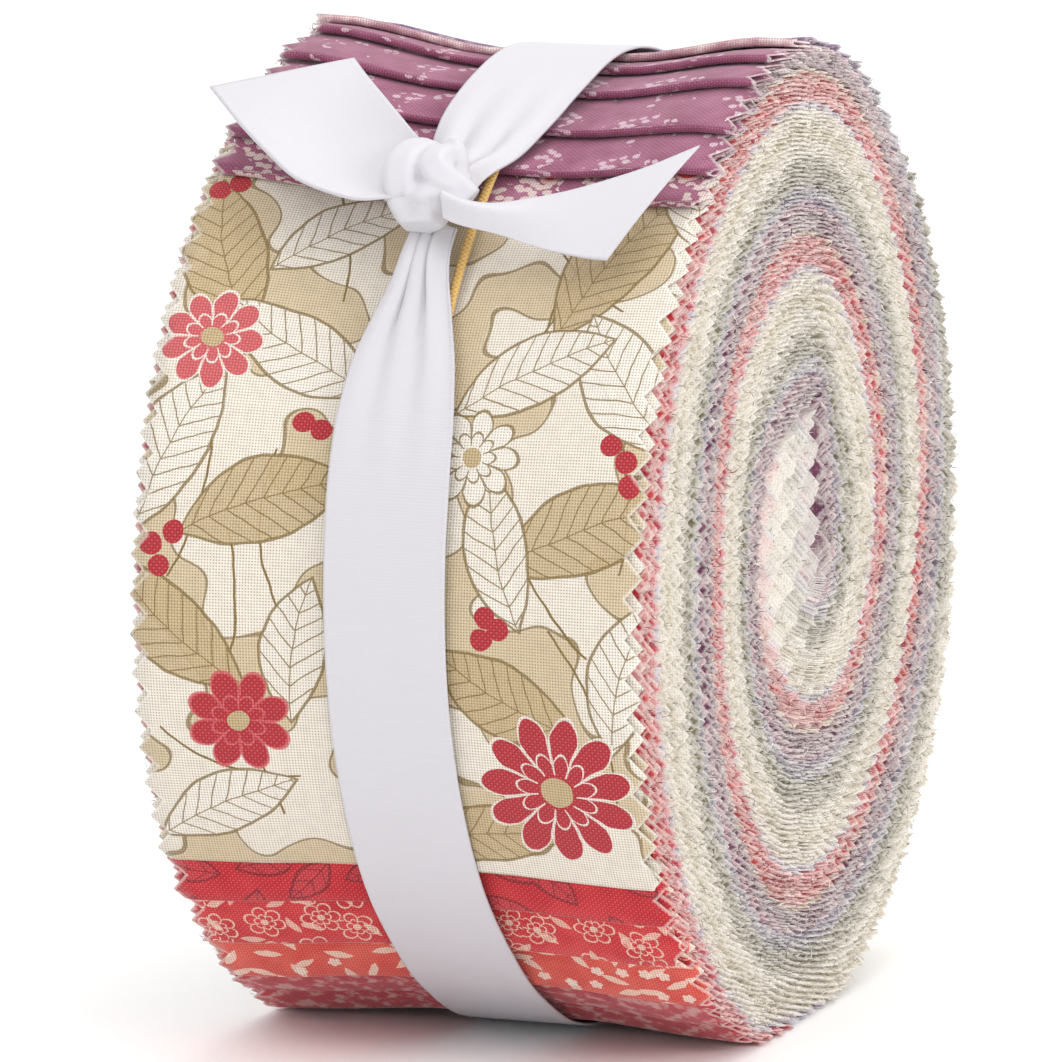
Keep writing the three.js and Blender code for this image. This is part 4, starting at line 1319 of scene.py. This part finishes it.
FRONT_BERRIES = [
    (-29.5, 38), (-26.8, 39.5), (-28.4, 35.4), (28.5, 50), (26.4, 51.8), (29.2, 47.2),
    (-10, 52.5), (-12.2, 53.4), (11.5, 28.5), (13.6, 29.8), (12.0, 31.2), (-29.5, 84), (-27.2, 85.4),
]
FRONT_STEMS = [
    # x, y, bow, length, turn
    (22, 62, 3, 26, -75), (14, 46, -2, 22, -60), (-25, 60, 3, 26, -95), (-15, 50, -3, 24, -80),
    (20, 30, 2, 22, -70), (-24, 20, 2, 18, -60), (12, 84, -2, 20, -50), (-18, 90, 2, 22, -70),
    (24, 84, -3, 24, -110), (-20, 40, 3, 26, -100), (17, 70, 2, 20, -130), (-29, 16, -2, 18, -20),
]
# Where the front strip's print is split into parts, and how far a motif may stray
FRONT_SPLIT_X = (-40.0, -8.0, 9.0, 40.0)
FRONT_SPLIT_Y = (-20.0, 22.0, 44.0, 66.0, 120.0)
PRINT_MARGIN = 2.5


def paint_front(tree, uv, x_from, x_to, y_from, y_to):
    """Outlined leaves, stems, berries and blossoms on a tan and off-white ground, as far
    as they reach into one part of the strip."""

    def reaches(x, y, size):
        reach = size / 2 + PRINT_MARGIN
        return x_from - reach < x < x_to + reach and y_from - reach < y < y_to + reach

    place = wobbled(tree, uv, 5.0, 0.9)
    cloud = noise(tree, uv, 15.0, 1.0)
    colour = mix(tree, cloud.ramp(0.47, 0.5) * 0.85, TAN, CREAM)
    rim = abs(cloud - 0.485).below(0.006)
    colour = mix(tree, rim * 0.8, colour, OLIVE)
    for x, y, sag, length, turn in FRONT_STEMS:
        if reaches(x, y, 2 * length):
            colour = mix(tree, curve_line(tree, place, (x, y), sag, length, turn), colour, OLIVE)
    for x, y, turn, length, width, filled in FRONT_LEAVES:
        if reaches(x, y, length):
            local = spun(tree, moved(tree, place, (x, y)), -turn)
            inside, drawn = leaf(tree, local, length, width, 0.2)
            colour = mix(tree, inside * 0.9, colour, TAN_DEEP if filled else CREAM)
            colour = mix(tree, drawn * 0.85, colour, OLIVE)
    for x, y, size, petals, turn, outer, inner in FRONT_BLOSSOMS:
        if reaches(x, y, size):
            local = spun(tree, moved(tree, place, (x, y)), -turn)
            inside, drawn, middle = blossom(tree, local, size, petals, 0.22)
            colour = mix(tree, inside, colour, outer)
            colour = mix(tree, drawn * 0.85, colour, inner)
            colour = mix(tree, middle, colour, TAN_DEEP)
    near = [spot for spot in FRONT_BERRIES if reaches(*spot, 3)]
    if near:
        colour = mix(tree, berries(tree, place, near, 1.35), colour, BERRY)
    return colour


def dress_front(piece):
    """The front strip's print, a material for each part of it so that each stays light."""
    columns = list(zip(FRONT_SPLIT_X, FRONT_SPLIT_X[1:]))
    rows = list(zip(FRONT_SPLIT_Y, FRONT_SPLIT_Y[1:]))
    for column, (x_from, x_to) in enumerate(columns):
        for row, (y_from, y_to) in enumerate(rows):
            name = f"cotton_front_{column + 1}_{row + 1}"
            box = {"x_from": x_from, "x_to": x_to, "y_from": y_from, "y_to": y_to}
            piece.data.materials.append(cloth_material(name, paint_front, **box))
    uv = np.empty(len(piece.data.loops) * 2, np.float32)
    piece.data.uv_layers["cloth"].data.foreach_get("uv", uv)
    centre = uv.reshape(-1, 4, 2).mean(1)
    column = np.searchsorted(FRONT_SPLIT_X[1:-1], centre[:, 0])
    row = np.searchsorted(FRONT_SPLIT_Y[1:-1], centre[:, 1])
    index = (column * len(rows) + row).astype(np.int32)
    piece.data.polygons.foreach_set("material_index", index)


def mottled(tree, uv, colours, size=6.0, low=0.4, high=0.6):
    """Two close colours that run into each other in clouds."""
    return mix(tree, noise(tree, uv, size, 2.0).ramp(low, high), *colours)


def paint_mauve(tree, uv):
    """Mottled pink-mauve."""
    cloud = noise(tree, uv, 3.4, 3.0, 0.65)
    patch = noise(tree, uv, 9.0, 1.0)
    colour = mix(tree, cloud.ramp(0.4, 0.62), MAUVE, MAUVE_PALE)
    return mix(tree, patch.ramp(0.52, 0.66) * 0.6, colour, MAUVE_DEEP)


def specks(tree, uv, size, width, cluster, tone):
    """Plum with small pale specks that gather in sprigs. cluster is the share of cloth
    they cover."""
    colour = mottled(tree, uv, (PLUM, PLUM_LIGHT), 5.0, 0.35, 0.7)
    local, _ = cells(tree, uv, size, 0.95)
    x, y = split(tree, wobbled(tree, local, 0.5, 0.5))
    round_speck = (x * x + y * y).below(width * width / 4)
    patch = noise(tree, uv, 5.5, 1.0).above(1.0 - cluster)
    return mix(tree, round_speck.both(patch) * 0.7, colour, tone)


def paint_plum_specks(tree, uv):
    """Plum with small pale sprigs."""
    return specks(tree, uv, 1.5, 1.0, 0.42, PLUM_PALE)


# Large motifs on the plum ends, placed as on the front strip
PLUM_LEAVES = [
    # x, y, turn, length, width
    (-19, 5, 12, 17, 4.5), (-2, 7, 160, 15, 5), (14, 4, 8, 16, 4),
    (26, 8, 130, 13, 4.5), (-29, 11, 70, 12, 4),
]
PLUM_BLOSSOMS = [
    # x, y, size, petals, turn
    (10, 7, 11, 7, 10), (-22, 6, 10, 6, 30), (25, 6, 12, 7, 0), (-6, 6, 8, 6, 15),
]


def paint_plum_leaves(tree, uv):
    """Plum with a few large pale leaves."""
    colour = specks(tree, uv, 1.6, 1.0, 0.45, PLUM_PALE)
    for x, y, turn, length, width in PLUM_LEAVES:
        local = spun(tree, moved(tree, wobbled(tree, uv, 3.0, 0.7), (x, y)), -turn)
        inside, drawn = leaf(tree, local, length, width, 0.25, veins=False)
        colour = mix(tree, inside * 0.9, colour, PLUM_LEAF)
        colour = mix(tree, drawn * 0.5, colour, PLUM_LEAF_LINE)
    return colour


def paint_plum_blossoms(tree, uv):
    """Plum with coral and cream blossoms."""
    colour = specks(tree, uv, 1.4, 1.15, 0.56, PLUM_SPRIG)
    for x, y, size, petals, turn in PLUM_BLOSSOMS:
        local = spun(tree, moved(tree, wobbled(tree, uv, 2.5, 0.9), (x, y)), -turn)
        inside, drawn, middle = blossom(tree, local, size, petals, 0.35)
        colour = mix(tree, inside, colour, BLOSSOM_CORAL)
        colour = mix(tree, drawn * 0.7, colour, BLOSSOM_LINE)
        colour = mix(tree, middle, colour, BLOSSOM_MIDDLE)
    return colour


def paint_red_leaves(tree, uv):
    """Deep red with darker leaf drawing."""
    colour = mottled(tree, uv, RED_DEEP)
    local, _ = cells(tree, wobbled(tree, uv, 4.0, 0.8), 8.0, 0.6)
    inside, drawn = leaf(tree, local, 8.0, 3.8, 0.22)
    colour = mix(tree, inside * 0.35, colour, RED_LEAF)
    return mix(tree, drawn * 0.7, colour, RED_LINE)


def paint_red_lace(tree, uv):
    """Red with a cream net of petals and leaves."""
    colour = mottled(tree, uv, RED_BRIGHT, 5.0)
    local, _ = cells(tree, wobbled(tree, uv, 3.0, 0.6), 6.0, 0.5)
    _, drawn, middle = blossom(tree, local, 5.2, 6, 0.14)
    colour = mix(tree, drawn.either(middle) * 0.75, colour, LACE)
    other, _ = cells(tree, moved(tree, wobbled(tree, uv, 3.0, 0.6), (13, 7)), 5.0, 0.9)
    inside, _ = leaf(tree, other, 3.2, 1.1, 0.2, veins=False)
    return mix(tree, inside * 0.65, colour, LACE_LEAF)


def paint_coral(tree, uv):
    """Coral with cream sprigs."""
    colour = mottled(tree, uv, CORAL)
    local, _ = cells(tree, wobbled(tree, uv, 2.0, 0.7), 4.4, 0.9)
    inside, _ = leaf(tree, local, 3.8, 1.2, 0.18, veins=False)
    colour = mix(tree, inside * 0.8, colour, CORAL_SPRIG)
    other, pick = cells(tree, moved(tree, uv, (9, 23)), 3.2, 0.9)
    inside, _, _ = blossom(tree, other, 1.8, 5)
    return mix(tree, inside.both(pick.above(0.4)) * 0.8, colour, CORAL_BUD)


PAINTS = {
    "strip_end_mauve": paint_mauve,
    "strip_end_plum_1": paint_plum_leaves,
    "strip_end_plum_2": paint_plum_specks,
    "strip_end_plum_3": paint_plum_specks,
    "strip_end_plum_4": paint_plum_specks,
    "strip_end_plum_5": paint_plum_blossoms,
    "strip_end_red_1": paint_red_leaves,
    "strip_end_red_2": paint_red_lace,
    "strip_end_coral": paint_coral,
}


def fibre_material():
    """Frayed cotton fibres in the colours of the strips they stand on."""
    material, tree, shader = new_material("cotton_lint")
    tree.links.new(attribute(tree, "tint", "Color"), shader.inputs["Base Color"])
    place = shader_node(tree, "ShaderNodeTexCoord").outputs["Object"]
    grain = noise(tree, place, 0.0004, 2.0)
    tree.links.new((grain * 0.2 + 0.8).socket, shader.inputs["Roughness"])
    shader.inputs["Specular IOR Level"].default_value = 0.1
    raise_surface(tree, shader, grain, 0.3)
    return material


def satin_material():
    """White satin ribbon: fine cross ribs and firm woven edges."""
    material, tree, shader = new_material("white_satin")
    shader.inputs["Base Color"].default_value = (*linear("c9c7cc"), 1)
    shader.inputs["Specular IOR Level"].default_value = 0.4
    shader.inputs["Sheen Weight"].default_value = 0.1
    place = shader_node(tree, "ShaderNodeTexCoord").outputs["Object"]
    x, y = split(tree, cloth_map(tree))
    half = RIBBON_WIDTH / 2
    from_edge = 1.0 - abs(x - half) * (1 / half)
    ribs = y.wave(2.6) * 0.3 + x.wave(1.3) * 0.12
    selvage = (1.0 - from_edge.ramp(0.02, 0.09)) * (y.wave(1.7) * 0.5 + 0.8)
    grain = noise(tree, place, 0.0012, 3.0)
    tree.links.new((grain * 0.25 + 0.34).socket, shader.inputs["Roughness"])
    raise_surface(tree, shader, ribs * 0.35 + selvage + grain * 0.4, 0.35)
    return material


def elastic_material():
    """Tan braided elastic."""
    material, tree, shader = new_material("tan_elastic")
    x, y = split(tree, cloth_map(tree))
    braid = (y + x * 0.8).wave(1.6) * 0.5 + (y - x * 0.8).wave(1.6) * 0.5
    # The colour follows the braid's relief: painted shade in its grooves and a painted highlight on its
    # ridges.
    colour = mix(tree, braid.ramp(-0.8, 0.8), linear("c79a4c"), linear("e2bd78"))
    tree.links.new(colour, shader.inputs["Base Color"])
    tree.links.new((braid * 0.1 + 0.6).socket, shader.inputs["Roughness"])
    raise_surface(tree, shader, braid, 0.5)
    return material


# The photograph's camera, fitted to the roll's outline
CAMERA_AZIMUTH = 19.82
CAMERA_ELEVATION = 9.0
CAMERA_ROLL = 0.20
CAMERA_DISTANCE = 1137.6
PHOTO_SIZE = 1062
PHOTO_FOCAL = 9335  # pixels
ROLL_CENTRE_PIXEL = (557.46, 533.87)
SENSOR_WIDTH = 36


def add_camera():
    """The camera at the photograph's place, turned to the roll's centre."""
    azimuth = math.radians(CAMERA_AZIMUTH)
    elevation = math.radians(CAMERA_ELEVATION)
    back = np.array([
        math.sin(azimuth) * math.cos(elevation),
        -math.cos(azimuth) * math.cos(elevation),
        math.sin(elevation),
    ])
    right = np.cross(-back, [0, 0, 1])
    right /= np.linalg.norm(right)
    up = np.cross(back, right)
    roll = math.radians(CAMERA_ROLL)
    right, up = (
        right * math.cos(roll) + up * math.sin(roll),
        up * math.cos(roll) - right * math.sin(roll),
    )
    centre = np.array([0, -AXIS_FORWARD, AXIS_HEIGHT])
    data = bpy.data.cameras.new("camera")
    data.sensor_width = SENSOR_WIDTH
    data.lens = PHOTO_FOCAL / PHOTO_SIZE * SENSOR_WIDTH
    data.shift_x = -(ROLL_CENTRE_PIXEL[0] - PHOTO_SIZE / 2) / PHOTO_SIZE
    data.shift_y = (ROLL_CENTRE_PIXEL[1] - PHOTO_SIZE / 2) / PHOTO_SIZE
    data.clip_start = 0.05
    camera = bpy.data.objects.new("camera", data)
    place = (centre + back * CAMERA_DISTANCE) * MM
    rows = np.eye(4)
    rows[:3, 0] = right
    rows[:3, 1] = up
    rows[:3, 2] = back
    rows[:3, 3] = place
    camera.matrix_world = Matrix([list(row) for row in rows])
    bpy.context.scene.collection.objects.link(camera)
    bpy.context.scene.camera = camera


# Lights: name, place and size in metres, and power in watts
LIGHTS = [
    ("key", (-0.40, -0.75, 1.0), 0.6, 1.5),
    ("fill", (1.1, -0.25, 0.5), 0.5, 4.6),
    ("top", (0.1, 0.25, 1.2), 0.7, 2.6),
]


def add_area_light(name, place, size, power):
    """A round soft light that faces the roll."""
    data = bpy.data.lights.new(name, "AREA")
    data.shape = "DISK"
    data.size = size
    data.energy = power
    lamp = bpy.data.objects.new(name, data)
    lamp.location = place
    direction = Vector((0, 0, AXIS_HEIGHT * MM)) - Vector(place)
    lamp.rotation_euler = direction.to_track_quat("-Z", "Y").to_euler()
    bpy.context.scene.collection.objects.link(lamp)


# The light of the surroundings, from the sides and from overhead
WORLD_LEVEL = 0.5
WORLD_OVERHEAD = 1.3

# The floor, in metres: how far it is flat, how far it reaches and how high its rim is
FLOOR_FLAT = 3.0
FLOOR_REACH = 6.0
FLOOR_RISE = 2.2
FLOOR_PAINT = (0.95, 0.95, 0.95)


def add_floor():
    """A round pale floor that curves up to a rim out of sight."""
    share = np.linspace(0, 1, 17)[:, None]
    radius = FLOOR_FLAT + (FLOOR_REACH - FLOOR_FLAT) * share
    turn = np.radians(np.arange(0, 360, 5))
    height = np.broadcast_to(FLOOR_RISE * share ** 2, (len(share), len(turn)))
    points = np.stack([radius * np.cos(turn), radius * np.sin(turn), height], -1).reshape(-1, 3)
    index = np.arange(len(points)).reshape(len(share), len(turn))
    following = np.roll(index, -1, axis=1)
    walls = np.stack([index[:-1], index[1:], following[1:], following[:-1]], -1).reshape(-1, 4)
    mesh = bpy.data.meshes.new("floor")
    mesh.from_pydata(points.tolist(), [], [index[0].tolist()] + walls.tolist())
    mesh.polygons.foreach_set("use_smooth", np.arange(len(mesh.polygons)) > 0)
    floor = bpy.data.objects.new("floor", mesh)
    bpy.context.scene.collection.objects.link(floor)
    paint, _, shader = new_material("floor_paint")
    shader.inputs["Base Color"].default_value = (*FLOOR_PAINT, 1)
    shader.inputs["Roughness"].default_value = 0.9
    floor.data.materials.append(paint)


def add_studio():
    """The floor and soft light, brighter from overhead than from the sides."""
    add_floor()
    world = bpy.data.worlds.new("studio")
    world.use_nodes = True
    tree = world.node_tree
    background = tree.nodes["Background"]
    background.inputs["Color"].default_value = (1, 1, 1, 1)
    direction = shader_node(tree, "ShaderNodeTexCoord").outputs["Generated"]
    height = shader_node(tree, "ShaderNodeSeparateXYZ", links={"Vector": direction}).outputs["Z"]
    overhead = Signal(tree, height).ramp(0.0, 0.9)
    strength = overhead * (WORLD_OVERHEAD - WORLD_LEVEL) + WORLD_LEVEL
    tree.links.new(strength.socket, background.inputs["Strength"])
    bpy.context.scene.world = world
    bpy.context.scene.view_settings.view_transform = "Standard"
    for light in LIGHTS:
        add_area_light(*light)


def dress(piece, material):
    """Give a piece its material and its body."""
    piece.data.materials.append(material)
    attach(piece, "root")


def folded_sheet(length):
    """The length in metres, worked out and not kept."""
    length * MM


add_camera()
cloth = cloth_material("cotton_wound", paint_tinted, 0.5)
printed = {}
for family, first, last in WOUND_FAMILIES:
    piece, length = wound_piece(family, first, last)
    dress(piece, cloth)
    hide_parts("wound_strips")
    folded_sheet(length)
for node, strip, left, right in FRONT_ENDS:
    piece, length = front_end("visual_" + node, strip, left, right)
    if node == "strip_front_cream":
        dress_front(piece)
        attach(piece, "root")
    else:
        paint = PAINTS[node]
        if paint not in printed:
            printed[paint] = cloth_material(paint.__name__.replace("paint", "cotton"), paint)
        dress(piece, printed[paint])
    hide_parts(node)
    folded_sheet(length)
for name, first, last in BACK_ENDS:
    piece, length = back_ends(name, first, last)
    dress(piece, cloth)
    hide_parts("wound_strips")
    folded_sheet(length)
fibres = fibre_material()
for name, side, total in [("lint_right", 1, LINT_RIGHT), ("lint_left", -1, LINT_LEFT)]:
    dress(lint(name, side, total), fibres)
band, band_length = ribbon_band()
left_tail, left_length = tail("satin_tail_left", TAIL_LEFT, bend_left)
right_tail, right_length = tail("satin_tail_right", TAIL_RIGHT, bend_right)
knot = knot_object()
elastic, _ = elastic_band()
satin = satin_material()
for piece, node in [
    (band, "ribbon_band"),
    (left_tail, "ribbon_tail_left"),
    (right_tail, "ribbon_tail_right"),
    (knot, "ribbon_knot"),
]:
    dress(piece, satin)
    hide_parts(node)
dress(elastic, elastic_material())
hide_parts("elastic_band")
add_studio()
